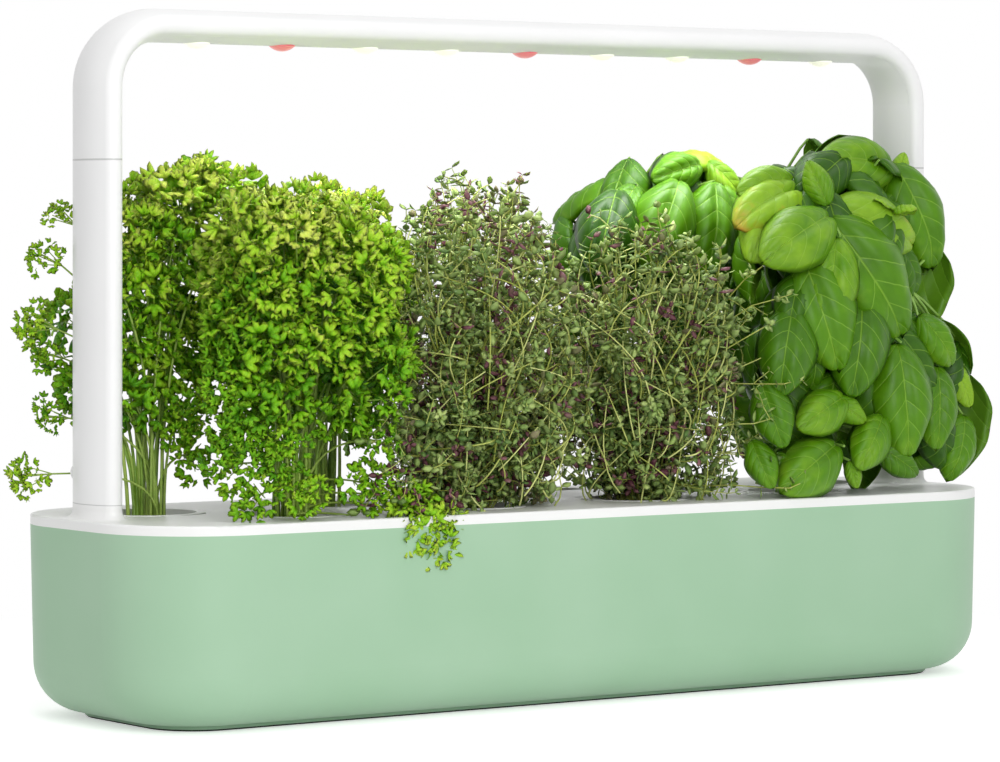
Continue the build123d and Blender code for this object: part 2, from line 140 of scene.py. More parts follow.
def coat(tree, shader, pattern, rough, tones=(), depth_mm=0, strength=1):
    """Roughness between two values and, where given, tones and a relief of a real depth in
    millimetres, all by one pattern."""
    low, high = rough
    gloss = add(tree, "ShaderNodeMapRange", {"Value": pattern, "To Min": low, "To Max": high})
    feed(tree, shader, {"Roughness": gloss})
    if tones:
        feed(tree, shader, {"Base Color": add(tree, "ShaderNodeValToRGB", [pattern], tones)})
    if depth_mm:
        inputs = {"Height": pattern, "Distance": depth_mm * MM, "Strength": strength}
        feed(tree, shader, {"Normal": add(tree, "ShaderNodeBump", inputs)})


# Moulded plastics

ABS_IOR = 1.5
# Half the width and the tone of the painted shadow line where two moulded pieces meet
SEAM_HALF_WIDTH = 0.5 * MM
SEAM_SHADOW_GREY = "#cbcbca"
# Length of the clouds where the melt flowed
FLOW_MM = 90
# How far the grain moves the roughness to each side, and how strongly it shows as relief
ROUGH_SWING = 0.05
GRAIN_STRENGTH = 0.35


def moulded_plastic(name, base, mottle, rough, grain_mm, grain_depth_mm, seams=()):
    """Injection-moulded plastic from a spark-eroded mould: a fine even grain that softens the gloss,
    a very faint change of tone where the melt flowed, and a thin painted shadow line at each seam's height."""
    material, tree, shader = new_material(name)
    flow = clouds(tree, size_mm=FLOW_MM, detail=2)
    tone = add(tree, "ShaderNodeValToRGB", [flow], [(0.3, base), (0.7, mottle)])
    place = add(tree, "ShaderNodeTexCoord").outputs["Object"]
    height = add(tree, "ShaderNodeSeparateXYZ", [place]).outputs["Z"]
    # Painted shadow: a thin grey band at each seam's height stands for the gap where two pieces meet
    for seam in seams:
        away = add(tree, "ShaderNodeMath", [height, seam], operation="SUBTRACT")
        away = add(tree, "ShaderNodeMath", [away], operation="ABSOLUTE")
        line = add(tree, "ShaderNodeMath", [away, SEAM_HALF_WIDTH], operation="LESS_THAN")
        tones = {"Factor": line, "A": tone, "B": SEAM_SHADOW_GREY}
        tone = add(tree, "ShaderNodeMix", tones, data_type="RGBA")
    feed(tree, shader, {"Base Color": tone, "IOR": ABS_IOR})
    gloss = (rough - ROUGH_SWING, rough + ROUGH_SWING)
    grain = clouds(tree, size_mm=grain_mm, detail=2)
    coat(tree, shader, grain, gloss, depth_mm=grain_depth_mm, strength=GRAIN_STRENGTH)
    return material


def tub_plastic():
    """Sage green ABS, matte: grain drawn at 0.9 mm, because the real 0.2 mm is too fine to show."""
    base = to_hex(bpy.context.scene.planter_colours.tub)
    name = "Sage green ABS, matte moulded"
    return moulded_plastic(name, base, "#9fc4a3", rough=0.46, grain_mm=0.9, grain_depth_mm=0.03)


def white_plastic(name="White ABS, satin moulded", base="#f6f6f5", mottle="#f2f2f1", seams=()):
    """White ABS with a satin skin: almost even, with soft wide highlights. Its grain is drawn at
    1.1 mm, because the real one is too fine to show."""
    return moulded_plastic(name, base, mottle, 0.36, grain_mm=1.1, grain_depth_mm=0.02, seams=seams)


def to_hex(colour):
    """sRGB hex from a colour property, which holds sRGB shares."""
    return "#" + "".join(f"{round(max(0, min(1, c)) * 255):02x}" for c in colour[:3])


def rubber():
    """Black foot rubber, dull, with a little dust on it."""
    material, tree, shader = new_material("Black rubber, moulded")
    dust = clouds(tree, size_mm=6, detail=4)
    coat(tree, shader, dust, rough=(0.7, 0.9), tones=[(0.35, "#171717"), (0.8, "#2c2b29")])
    return material


# Where a lens starts to brighten towards its crown, by how far its surface faces down
LENS_RIM = -0.4
LENS_CROWN = -1.0
ACRYLIC_IOR = 1.49


def lit_lens(name, rim, core, glow, strength):
    """Lit lens of frosted acrylic: the light is strongest at the crown and falls off to the rim."""
    material, tree, shader = new_material(name)
    normal = add(tree, "ShaderNodeNewGeometry").outputs["Normal"]
    down = add(tree, "ShaderNodeSeparateXYZ", [normal]).outputs["Z"]
    crown = add(tree, "ShaderNodeMapRange", {"Value": down, "From Min": LENS_RIM, "From Max": LENS_CROWN})
    feed(tree, shader, {
        "Base Color": add(tree, "ShaderNodeValToRGB", [crown], [(0, rim), (1, core)]),
        "Emission Color": add(tree, "ShaderNodeValToRGB", [crown], [(0, rim), (1, glow)]),
        "Emission Strength": strength,
        "Roughness": 0.3,
        "IOR": ACRYLIC_IOR,
    })
    return material


def plated_contact():
    """Gold-plated brass pins: warm and bright, slightly clouded."""
    material, tree, shader = new_material("Brass, gold plated")
    cloud = clouds(tree, size_mm=1.5, detail=2)
    coat(tree, shader, cloud, rough=(0.2, 0.35), tones=[(0.3, "#d8b25a"), (0.7, "#e8c878")])
    feed(tree, shader, {"Metallic": 1})
    return material


def zinc_screw():
    """Zinc-plated steel screws: pale grey, slightly cloudy."""
    material, tree, shader = new_material("Steel, zinc plated")
    cloud = clouds(tree, size_mm=2, detail=3)
    coat(tree, shader, cloud, rough=(0.3, 0.45), tones=[(0.3, "#a9adb0"), (0.7, "#c3c6c8")])
    feed(tree, shader, {"Metallic": 1})
    return material


# One unit of the pattern of copper tracks, which holds four rows of them
TRACK_UNIT = 30 * MM


def board_mask():
    """White solder mask on the lamp's board: glossy, with copper tracks just showing through."""
    material, tree, shader = new_material("Circuit board, white solder mask")
    tracks = add(tree, "ShaderNodeTexBrick", {
        "Vector": add(tree, "ShaderNodeTexCoord").outputs["Object"],
        "Scale": 1 / TRACK_UNIT,
        "Color1": "#e6e7e3",
        "Color2": "#dcded8",
        "Mortar": "#cfd0c6",
    })
    feed(tree, shader, {"Base Color": tracks, "Roughness": 0.25})
    return material


def light_chip():
    """Phosphor-coated light chip: dull yellow with a faint glow."""
    material, tree, shader = new_material("Light chip, phosphor coated")
    stops = [(0.3, "#e8d24a"), (0.7, "#f4e27a")]
    tone = add(tree, "ShaderNodeValToRGB", [clouds(tree, size_mm=3, detail=2)], stops)
    feed(tree, shader, {"Base Color": tone, "Emission Color": tone, "Emission Strength": 0.6})
    return material


# Soil and felt


def growing_soil():
    """Fibrous growing medium: dark, crumbly and damp, with paler fibres."""
    material, tree, shader = new_material("Growing medium, pressed peat and fibre")
    tones = [(0.3, "#1b120c"), (0.55, "#3a281b"), (0.72, "#5a432e")]
    crumbs = clouds(tree, size_mm=3, detail=6, roughness=0.7)
    coat(tree, shader, crumbs, rough=(0.95, 0.7), tones=tones, depth_mm=1.2, strength=0.9)
    return material


# Heights between which the felt goes from wet to dry
FELT_WET = 10 * MM
FELT_DRY = 60 * MM


def felt():
    """Pressed polyester felt: off-white, fuzzy, with a green tinge where it stands in water."""
    material, tree, shader = new_material("Polyester felt, needle pressed")
    place = add(tree, "ShaderNodeTexCoord").outputs["Object"]
    height = add(tree, "ShaderNodeSeparateXYZ", [place]).outputs["Z"]
    wet = add(tree, "ShaderNodeMapRange", {"Value": height, "From Min": FELT_DRY, "From Max": FELT_WET})
    tint = add(tree, "ShaderNodeValToRGB", [wet], [(0, "#ece9df"), (1, "#c9cda9")])
    fibre = clouds(tree, size_mm=1.2, detail=4, roughness=0.8)
    shading = {"Factor": fibre, "A": tint, "B": "#cfccc4"}
    feed(tree, shader, {
        "Base Color": add(tree, "ShaderNodeMix", shading, data_type="RGBA", blend_type="MULTIPLY"),
        "Roughness": 0.95,
        "Sheen Weight": 0.4,
        "Normal": add(tree, "ShaderNodeBump", {"Height": fibre, "Distance": 0.4 * MM, "Strength": 0.8}),
    })
    return material


# Leaves and stems

# Side veins run forward from the midrib by this share of their length, and take this share of a
# wave's height; the midrib's flat and full half widths are shares of the leaf's width
VEIN_SLANT = -0.6
SIDE_VEIN_SHARE = 0.14
MIDRIB_FLAT = 0.003
MIDRIB_EDGE = 0.016
# Place along a leaf from which its tint changes towards base and tip
LEAF_MIDDLE = 0.55
LEAF_IOR = 1.42
LEAF_GLOSS = 0.35
# How far red, green and blue light travel in a leaf
LEAF_SCATTER = (0.7, 1.0, 0.15)
LEAF_SCATTER_LENGTH = 1.2 * MM


def tint_and_painted_shade(tree, pattern, share):
    """The tint that the skeleton gives each leaf or stem, moved by a share of a pattern; for leaves it also
    holds painted light and shade.
    """
    tint = add(tree, "ShaderNodeAttribute", attribute_name="tint").outputs["Fac"]
    middled = add(tree, "ShaderNodeMath", [pattern, 0.5], operation="SUBTRACT")
    return add(tree, "ShaderNodeMath", [middled, share, tint], operation="MULTIPLY_ADD")


def leaf_skin(name, tints, vein, veins, vein_share, rough, puff_mm, underside, grain_mm, grain, edge, soft):
    """Living leaf: a waxy skin over veined tissue. The tint differs from leaf to leaf and holds the painted
    light and shade that the skeleton gives, the veins are paler and sunk, the tissue between them is
    puffed up, light passes a little through the blade, and the underside is duller and paler."""
    material, tree, shader = new_material(name)
    uv = add(tree, "ShaderNodeUVMap", uv_map="UVMap")
    blade = add(tree, "ShaderNodeSeparateXYZ", [uv]).outputs
    across = add(tree, "ShaderNodeMath", [blade["X"], 0.5], operation="SUBTRACT")
    across = add(tree, "ShaderNodeMath", [across], operation="ABSOLUTE")
    lean = add(tree, "ShaderNodeMath", [across, VEIN_SLANT, blade["Y"]], operation="MULTIPLY_ADD")
    wave = add(tree, "ShaderNodeMath", [lean, veins * math.pi], operation="MULTIPLY")
    wave = add(tree, "ShaderNodeMath", [wave], operation="SINE")
    wave = add(tree, "ShaderNodeMath", [wave], operation="ABSOLUTE")
    side_vein = add(tree, "ShaderNodeMapRange", {"Value": wave, "From Max": SIDE_VEIN_SHARE})
    midrib = {"Value": across, "From Min": MIDRIB_FLAT, "From Max": MIDRIB_EDGE}
    midrib = add(tree, "ShaderNodeMapRange", midrib)
    tissue = add(tree, "ShaderNodeMath", [side_vein, midrib], operation="MINIMUM")
    vein_tone = add(tree, "ShaderNodeMapRange", {"Value": tissue, "To Min": vein_share, "To Max": 0.0})
    puff = add(tree, "ShaderNodeMath", [wave, 0.5], operation="POWER")
    puff = add(tree, "ShaderNodeMath", [puff, midrib], operation="MULTIPLY")
    cell = clouds(tree, size_mm=grain_mm, detail=3)
    outer = add(tree, "ShaderNodeMath", [blade["Y"], LEAF_MIDDLE], operation="SUBTRACT")
    own = [outer, edge, tint_and_painted_shade(tree, cell, grain)]
    own = add(tree, "ShaderNodeMath", own, operation="MULTIPLY_ADD")
    tone = add(tree, "ShaderNodeValToRGB", [own], tints)
    tone = add(tree, "ShaderNodeMix", {"Factor": vein_tone, "A": tone, "B": vein}, data_type="RGBA")
    face = add(tree, "ShaderNodeAttribute", attribute_name="under").outputs["Fac"]
    pale = add(tree, "ShaderNodeMapRange", {"Value": face, "To Min": 0.0, "To Max": 0.5})
    tone = add(tree, "ShaderNodeMix", {"Factor": pale, "A": tone, "B": underside}, data_type="RGBA")
    coat(tree, shader, cell, (rough - 0.08, rough + 0.1))
    feed(tree, shader, {
        "Base Color": tone,
        "IOR": LEAF_IOR,
        "Specular IOR Level": LEAF_GLOSS,
        "Subsurface Weight": soft,
        "Subsurface Radius": LEAF_SCATTER,
        "Subsurface Scale": LEAF_SCATTER_LENGTH,
        "Normal": add(tree, "ShaderNodeBump", {"Height": puff, "Distance": puff_mm * MM, "Strength": 0.8}),
    })
    return material


def stem_skin(name, tones, ridge_mm):
    """Living stem: smooth and slightly waxy, with fine ridges; its tone differs from stem to stem."""
    material, tree, shader = new_material(name)
    ridge = clouds(tree, size_mm=ridge_mm, detail=3)
    tone = add(tree, "ShaderNodeValToRGB", [tint_and_painted_shade(tree, ridge, 0.5)], tones)
    feed(tree, shader, {"Base Color": tone})
    coat(tree, shader, ridge, rough=(0.35, 0.5), depth_mm=0.3, strength=0.5)
    return material


# Leaf shapes: closed thin shells, one unit long along +Y, with the upper side up

# Step on the blade, as a share of it, over which its slope is taken
SLOPE_STEP = 0.02
# In a shape one unit long: points this near are one, and a face thinner than this is dropped
SAME_POINT = 1e-5
NO_FACE = 1e-6


def shell_mesh(name, columns, rows, blade, thickness):
    """Closed blade from a formula: upper and lower grids that share their border."""
    verts, faces, uvs, under = [], [], [], []
    width = columns + 1

    def normal_at(u, v):
        ahead = min(1, u + SLOPE_STEP), min(1, v + SLOPE_STEP)
        behind = max(-1, u - SLOPE_STEP), max(0, v - SLOPE_STEP)
        across = Vector(blade(ahead[0], v)) - Vector(blade(behind[0], v))
        along = Vector(blade(u, ahead[1])) - Vector(blade(u, behind[1]))
        normal = across.cross(along)
        return normal.normalized() if normal.length > 1e-9 else Vector((0, 0, 1))

    for side in (1, -1):
        for row in range(rows + 1):
            for column in range(width):
                u = 2 * column / columns - 1
                v = row / rows
                point = Vector(blade(u, v))
                if 0 < row < rows and 0 < column < columns:
                    point = point + normal_at(u, v) * side * thickness / 2
                verts.append(point)
        start = 0 if side > 0 else width * (rows + 1)
        for row in range(rows):
            for column in range(columns):
                a = start + row * width + column
                quad = (a, a + 1, a + width + 1, a + width)
                corner_uv = [(column, row), (column + 1, row), (column + 1, row + 1), (column, row + 1)]
                if side < 0:
                    quad = quad[::-1]
                    corner_uv = corner_uv[::-1]
                faces.append(quad)
                uvs.extend((c / columns, r / rows) for c, r in corner_uv)
                under.append(1.0 if side < 0 else 0.0)
    mesh = bpy.data.meshes.new(name)
    mesh.from_pydata([tuple(v) for v in verts], [], faces)
    layer = mesh.uv_layers.new(name="UVMap")
    layer.data.foreach_set("uv", [c for uv in uvs for c in uv])
    mesh.attributes.new("under", "FLOAT", "FACE").data.foreach_set("value", under)
    weld(mesh)
    return mesh


def weld(mesh):
    """Merges doubles, drops collapsed faces and points the rest outwards."""
    work = bmesh.new()
    work.from_mesh(mesh)
    bmesh.ops.remove_doubles(work, verts=work.verts, dist=SAME_POINT)
    bmesh.ops.dissolve_degenerate(work, dist=NO_FACE, edges=work.edges)
    bmesh.ops.recalc_face_normals(work, faces=work.faces)
    work.to_mesh(mesh)
    work.free()


# How far each basil leaf shape bends down along its length, in radians
BASIL_BENDS = (0.9, 1.5, 0.6, 1.4, 1.2)
BASIL_VEINS = 6
# Heights of a basil blade's relief, as shares of its length
PUCKER = 0.024
PILLOW = 0.055
RIPPLE = 0.022
CRUMPLE = 0.014


def basil_blade(bend, cup, phase, half_width):
    """Ovate leaf, widest below its middle: the midrib lies in a groove, the tissue between the side
    veins is puffed up, both halves roll down to the edge, and the whole blade is a little crumpled."""

    def blade(u, v):
        width = half_width * 1.9 * v**0.5 * (1 - v) ** 0.62 * (1 - 0.25 * max(0, v - 0.7))
        side = abs(u)
        vein = abs(math.sin(math.pi * BASIL_VEINS * (v - 0.3 * side))) ** 0.7
        plump = math.sin(math.pi * v) ** 0.5
        pucker = PUCKER * vein * math.sin(math.pi * min(1, side * 0.95)) * plump
        pillow = PILLOW * math.sin(math.pi * min(1, side**0.75)) * plump
        roll = cup * width * side**2.2
        ripple = RIPPLE * side**2 * math.sin(13 * v + phase + (2 if u > 0 else 0))
        crumple = CRUMPLE * math.sin(9 * v + 2.5 * u + phase) * plump
        lift = pucker + pillow - roll + ripple + crumple
        turn = bend * v
        x = u * width * (1 - 0.2 * cup * side)
        y = math.sin(turn) / bend + lift * math.sin(turn)
        z = (math.cos(turn) - 1) / bend + lift * math.cos(turn)
        return (x, y, z)

    return blade


def thyme_blade(bend):
    """Small pointed oval with rolled edges."""

    def blade(u, v):
        width = 0.3 * math.sin(math.pi * v) ** 0.75
        turn = bend * v
        return (u * width, math.sin(turn) / bend, -(1 - math.cos(turn)) / bend - 0.25 * u * u * width)

    return blade


def parsley_blade(spread, ruffle, phase, curl):
    """Small leaflet of curly parsley: three notched lobes thrown into waves, with a curled edge."""

    def blade(u, v):
        angle = u * spread
        lobe = (0.5 + 0.5 * math.cos(3 * math.pi * u)) ** 0.55
        reach = v * (0.62 + 0.38 * lobe) * (1 - 0.12 * u * u)
        wave = ruffle * v * v * math.sin(3 * math.pi * u + phase)
        droop = -curl * v * v * (0.75 + 0.25 * math.cos(3 * u + phase))
        return (reach * math.sin(angle), reach * math.cos(angle), wave + droop)

    return blade


def leaf_shapes(name, blades, columns, rows, thickness):
    """Leaf shapes as objects in a collection that only feeds the node tree."""
    collection = bpy.data.collections.new(name)
    for index, blade in enumerate(blades):
        mesh = shell_mesh(f"{name}_{index}", columns, rows, blade, thickness)
        collection.objects.link(bpy.data.objects.new(f"{name}_{index}", mesh))
    return collection


def within_reach(place, margin):
    """The place, moved in where it and its margin would leave the foliage's reach."""
    kept = Vector(place)
    for axis in (0, 1):
        limit = REACH[axis] - margin
        kept[axis] = max(-limit, min(limit, kept[axis]))
    return kept


def shift_inside(*places):
    """The move that brings all the places within the foliage's reach."""
    move = Vector((0, 0, 0))
    for place in places:
        own = within_reach(place, 0) - place
        for axis in (0, 1):
            if abs(own[axis]) > abs(move[axis]):
                move[axis] = own[axis]
    return move


def blade_shift(place, way, up, size, half_width):
    """The move that brings a small leaf, with its tip and its width, within the foliage's reach."""
    way = way.normalized()
    wide = way.cross(up).normalized() * half_width * size
    middle = place + way * 0.6 * size
    return shift_inside(middle + wide, middle - wide, place + way * size)


# What the node tree reads from each point, and what a point has where nothing else is said
POINT_KINDS = {
    "thickness": "FLOAT",
    "is_leaf": "BOOLEAN",
    "turn": "FLOAT_VECTOR",
    "grown": "FLOAT",
    "shape": "INT",
    "tint": "FLOAT",
}
POINT_DEFAULTS = {
    "thickness": 0.0,
    "is_leaf": False,
    "turn": (0, 0, 0),
    "grown": 0.0,
    "shape": 0,
    "tint": 0.5,
}


class Skeleton:
    """Stems as edges and leaves as loose points, with all that the node tree reads from them."""

    def __init__(self):
        self.places = []
        self.edges = []
        self.values = {name: [] for name in POINT_KINDS}

    def point(self, place, **values):
        """One point with its values; gives back its number."""
        self.places.append(tuple(place))
        for name, default in POINT_DEFAULTS.items():
            self.values[name].append(values.get(name, default))
        return len(self.places) - 1

    def stem(self, places, start_radius, end_radius, tint=0.5):
        """A stem along the places, whose radius changes evenly."""
        last = None
        for index, place in enumerate(places):
            place = within_reach(place, end_radius)
            share = index / max(1, len(places) - 1)
            radius = start_radius + (end_radius - start_radius) * share
            here = self.point(place, thickness=radius, tint=tint)
            if last is not None:
                self.edges.append((last, here))
            last = here

    def leaf(self, place, direction, up, size, kind, tint):
        """A leaf whose length runs along the direction, with its upper side towards up."""
        along = Vector(direction).normalized()
        side = along.cross(Vector(up))
        if side.length < 1e-4:
            side = along.cross(Vector((1, 0.3, 0.2)))
        side.normalize()
        top = side.cross(along)
        turn = Matrix((side, along, top)).transposed().to_euler("XYZ")
        self.point(place, is_leaf=True, turn=tuple(turn), grown=size, shape=kind, tint=tint)

    def to_mesh(self, name):
        """The points and edges as a mesh, with each value as an attribute."""
        mesh = bpy.data.meshes.new(name)
        mesh.from_pydata(self.places, self.edges, [])
        for attribute, kind in POINT_KINDS.items():
            column = mesh.attributes.new(attribute, kind, "POINT").data
            values = self.values[attribute]
            if kind == "FLOAT_VECTOR":
                column.foreach_set("vector", [part for value in values for part in value])
            else:
                column.foreach_set("value", values)
        return mesh


def foliage_tree():
    """Geometry nodes: turns a skeleton's edges into stems and puts a leaf shape on each loose point."""
    tree = bpy.data.node_groups.new("Foliage", "GeometryNodeTree")
    sockets = tree.interface
    sockets.new_socket("Geometry", in_out="OUTPUT", socket_type="NodeSocketGeometry")
    for name, kind in [
        ("Geometry", "NodeSocketGeometry"),
        ("Leaf Shapes", "NodeSocketCollection"),
        ("Leaf Scale", "NodeSocketFloat"),
        ("Stem Sides", "NodeSocketInt"),
        ("Stem Material", "NodeSocketMaterial"),
        ("Leaf Material", "NodeSocketMaterial"),
    ]:
        sockets.new_socket(name, in_out="INPUT", socket_type=kind)
    given = add(tree, "NodeGroupInput").outputs
    stored = {}
    for name, kind in POINT_KINDS.items():
        stored[name] = add(tree, "GeometryNodeInputNamedAttribute", {"Name": name}, data_type=kind)
    split = [given["Geometry"], stored["is_leaf"]]
    split = add(tree, "GeometryNodeSeparateGeometry", split, domain="POINT").outputs
    lines = add(tree, "GeometryNodeMeshToCurve", {"Mesh": split["Inverted"]})
    lines = {"Curve": lines, "Radius": stored["thickness"]}
    lines = add(tree, "GeometryNodeSetCurveRadius", lines)
    ring = {"Resolution": given["Stem Sides"], "Radius": 1.0}
    ring = add(tree, "GeometryNodeCurvePrimitiveCircle", ring)
    stems = {"Curve": lines, "Profile Curve": ring, "Fill Caps": True}
    stems = add(tree, "GeometryNodeCurveToMesh", stems)
    if "Scale" in stems.inputs:
        feed(tree, stems, {"Scale": stored["thickness"]})
    stems = {"Geometry": stems, "Material": given["Stem Material"]}
    stems = add(tree, "GeometryNodeSetMaterial", stems)
    shapes = {"Collection": given["Leaf Shapes"], "Separate Children": True, "Reset Children": True}
    leaves = add(tree, "GeometryNodeInstanceOnPoints", {
        "Points": split["Selection"],
        "Instance": add(tree, "GeometryNodeCollectionInfo", shapes),
        "Pick Instance": True,
        "Instance Index": stored["shape"],
        "Rotation": stored["turn"],
        "Scale": add(tree, "ShaderNodeMath", [stored["grown"], given["Leaf Scale"]], operation="MULTIPLY"),
    })
    leaves = add(tree, "GeometryNodeRealizeInstances", {"Geometry": leaves})
    leaves = {"Geometry": leaves, "Material": given["Leaf Material"]}
    leaves = add(tree, "GeometryNodeSetMaterial", leaves)
    joined = add(tree, "GeometryNodeJoinGeometry")
    for part in (stems, leaves):
        feed(tree, joined, {"Geometry": part})
    smooth = add(tree, "GeometryNodeSetShadeSmooth", {"Geometry": joined})
    add(tree, "NodeGroupOutput", {"Geometry": smooth})
    return tree


def grow(name, skeleton, tree, values):
    """Runs the node tree on a skeleton and keeps the result as a plain mesh object."""
    holder = bpy.data.objects.new(name + "_source", skeleton.to_mesh(name + "_source"))
    bpy.context.scene.collection.objects.link(holder)
    modifier = holder.modifiers.new("Foliage", "NODES")
    modifier.node_group = tree
    for item in tree.interface.items_tree:
        if item.in_out == "INPUT" and item.name in values:
            modifier[item.identifier] = values[item.name]
    graph = bpy.context.evaluated_depsgraph_get()
    graph.update()
    mesh = bpy.data.meshes.new_from_object(holder.evaluated_get(graph), depsgraph=graph)
    mesh.name = name
    bpy.data.objects.remove(holder)
    piece = bpy.data.objects.new(name, mesh)
    bpy.context.scene.collection.objects.link(piece)
    return piece


def stand_in_for(piece, node, body):
    """The piece takes a node's place and rides on its body."""
    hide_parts(node)
    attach(piece, body)


def bow(start, end, rise_share, count, sway=(0, 0, 0)):
    """Points of a stem that leaves its start upright and bends over to its end."""
    start, end = Vector(start), Vector(end)
    knee = Vector((start.x, start.y, start.z + (end.z - start.z) * rise_share)) + Vector(sway)
    points = []
    for index in range(count):
        t = index / (count - 1)
        points.append(start * (1 - t) ** 2 + knee * 2 * t * (1 - t) + end * t * t)
    return points


def cup_centre(herb):
    """Middle of the herb's cup at the height of its soil."""
    low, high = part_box(HERB_CUPS[herb][1])
    return Vector(((low.x + high.x) / 2, (low.y + high.y) / 2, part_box(herb)[0].z))


# Random places that are tried on a herb's surface
SURFACE_TRIES = 5000
# A face with less area than this, in square metres doubled, counts for nothing
NO_AREA = 1e-12


class Solid:
    """A herb's CAD solid, whose surface its foliage follows."""

    def __init__(self, node):
        piece = frame["nodes"][node]
        points = [piece.matrix_world @ vertex.co for vertex in piece.data.vertices]
        faces = [tuple(face.vertices) for face in piece.data.polygons]
        corners = np.array([[points[index] for index in face[:3]] for face in faces])
        cross = np.cross(corners[:, 1] - corners[:, 0], corners[:, 2] - corners[:, 0])
        size = np.linalg.norm(cross, axis=1)
        keep = size > NO_AREA
        self.corners = corners[keep]
        self.normals = cross[keep] / size[keep][:, None]
        self.shares = size[keep] / size[keep].sum()

    def even_places(self, spacing, seed, lowest):
        """Places about one spacing apart on the surface above a height, each with its normal."""
        rng = np.random.default_rng(seed)
        pick = rng.choice(len(self.shares), size=SURFACE_TRIES, p=self.shares)
        a, b = rng.random(SURFACE_TRIES), rng.random(SURFACE_TRIES)
        flip = a + b > 1
        a[flip], b[flip] = 1 - a[flip], 1 - b[flip]
        corner = self.corners[pick]
        places = corner[:, 0] + a[:, None] * (corner[:, 1] - corner[:, 0])
        places += b[:, None] * (corner[:, 2] - corner[:, 0])
        kept = np.empty((0, 3))
        result = []
        for place, normal in zip(places, self.normals[pick]):
            if place[2] < lowest:
                continue
            if len(kept) and np.min(np.sum((kept - place) ** 2, axis=1)) < spacing**2:
                continue
            kept = np.vstack([kept, place])
            result.append((Vector(place), Vector(normal)))
        return result


def sides_of(axis):
    """Two directions at right angles to an axis and to each other."""
    side = axis.cross(Vector((0, 0, 1)))
    side = side.normalized() if side.length > 0.1 else Vector((1, 0, 0))
    return side, axis.cross(side).normalized()


def side_at(axis, turn):
    """A direction at right angles to an axis, turned about it."""
    side, other = sides_of(axis)
    return side * math.cos(turn) + other * math.sin(turn)


def random_way(rng):
    """A direction with no preferred side."""
    return Vector((rng.gauss(0, 1), rng.gauss(0, 1), rng.gauss(0, 1))).normalized()


def foot_towards(cup, place, spread, ring_mm, rng):
    """A place in a ring of the cup's mouth, on about the side of the place that its stem goes to."""
    angle = math.atan2(place.y - cup.y, place.x - cup.x) + rng.uniform(-spread, spread)
    return cup + Vector((math.cos(angle), math.sin(angle), 0)) * rng.uniform(*ring_mm) * MM


def around_cup(cup, reach_mm, rng):
    """A place in the cup's mouth where a stem comes up."""
    return cup + Vector((rng.uniform(-reach_mm, reach_mm), rng.uniform(-reach_mm, reach_mm), 0)) * MM


# Half width of a parsley leaflet, as a share of its length
LEAFLET_HALF_WIDTH = 0.7
# Radii of a curly leaf and of the ring in which the stalks come up
CUSHION_MM = (9, 13)
STALK_RING_MM = (2, 13)
# Distance between stalks, as a share of the distance between curly leaves
STALK_SPACING = 2.1
# How far a curly leaf's depth under the surface differs from one to the next
DEPTH_SCATTER_MM = 5.5
# Stalks divide this far under the surface, and this much lower than the leaves that they carry
FORK_DEPTH_MM = 22
FORK_DROP_MM = 12
# How far to the photograph's left the airy part begins, where a share of the leaves is left out
LOOSE_FROM_MM = 246
# Height of the lowest part, and the share of its leaves that is left out so that the stalks show
THIN_BELOW_MM = 32
THIN_SHARE = 0.6
# How far a leaf is lowered where the surface faces straight up
CROWN_DRAW_MM = 7
# Radii at the start and the end: of stalks, their branches, loose sprigs and the sprigs' branches
STALK_RADII = (1.15 * MM, 0.7 * MM)
BRANCH_RADII = (0.6 * MM, 0.35 * MM)
SPRIG_RADII = (0.9 * MM, 0.5 * MM)
SPRIG_BRANCH_RADII = (0.4 * MM, 0.3 * MM)
# Outer and inner layer: distance as a share of the spacing, depth in mm, tint, leaflets in a leaf; the
# inner layer's lower tint is painted shade
PARSLEY_LAYERS = [(1, 4, 0.56, 15), (1.35, 17, 0.28, 8)]
# Curly leaves at the end of a loose sprig
SPRIG_LEAVES = 4


def parsley_cushion(skeleton, centre, out, rng, radius, tint, count):
    """Curly leaf: a small dome of lobed leaflets, with painted light at its crown and painted shade at its
    rim.
    """
    out = out.normalized()
    start = rng.uniform(0, math.tau)
    for index in range(count):
        share = math.sqrt((index + 0.5) / count)
        fan = side_at(out, start + index * GOLDEN_ANGLE)
        rise = 0.5 * (1 - share**2) + rng.uniform(-0.25, 0.25)
        place = centre + fan * radius * share + out * radius * rise
        way = fan * (0.3 + share) + out * rng.uniform(0.0, 0.9) + random_way(rng) * 0.6
        up = out + random_way(rng) * 0.7
        size = radius * rng.uniform(0.55, 0.9)
        # Painted light and shade: leaflets at the crown of the dome are tinted brighter than those at its
        # rim
        shade = tint + 0.2 * (0.55 - share) + rng.uniform(-0.1, 0.1)
        place += blade_shift(place, way, up, size, LEAFLET_HALF_WIDTH)
        skeleton.leaf(place, way, up, size, rng.randrange(len(LEAFLET_FORMS)), shade)


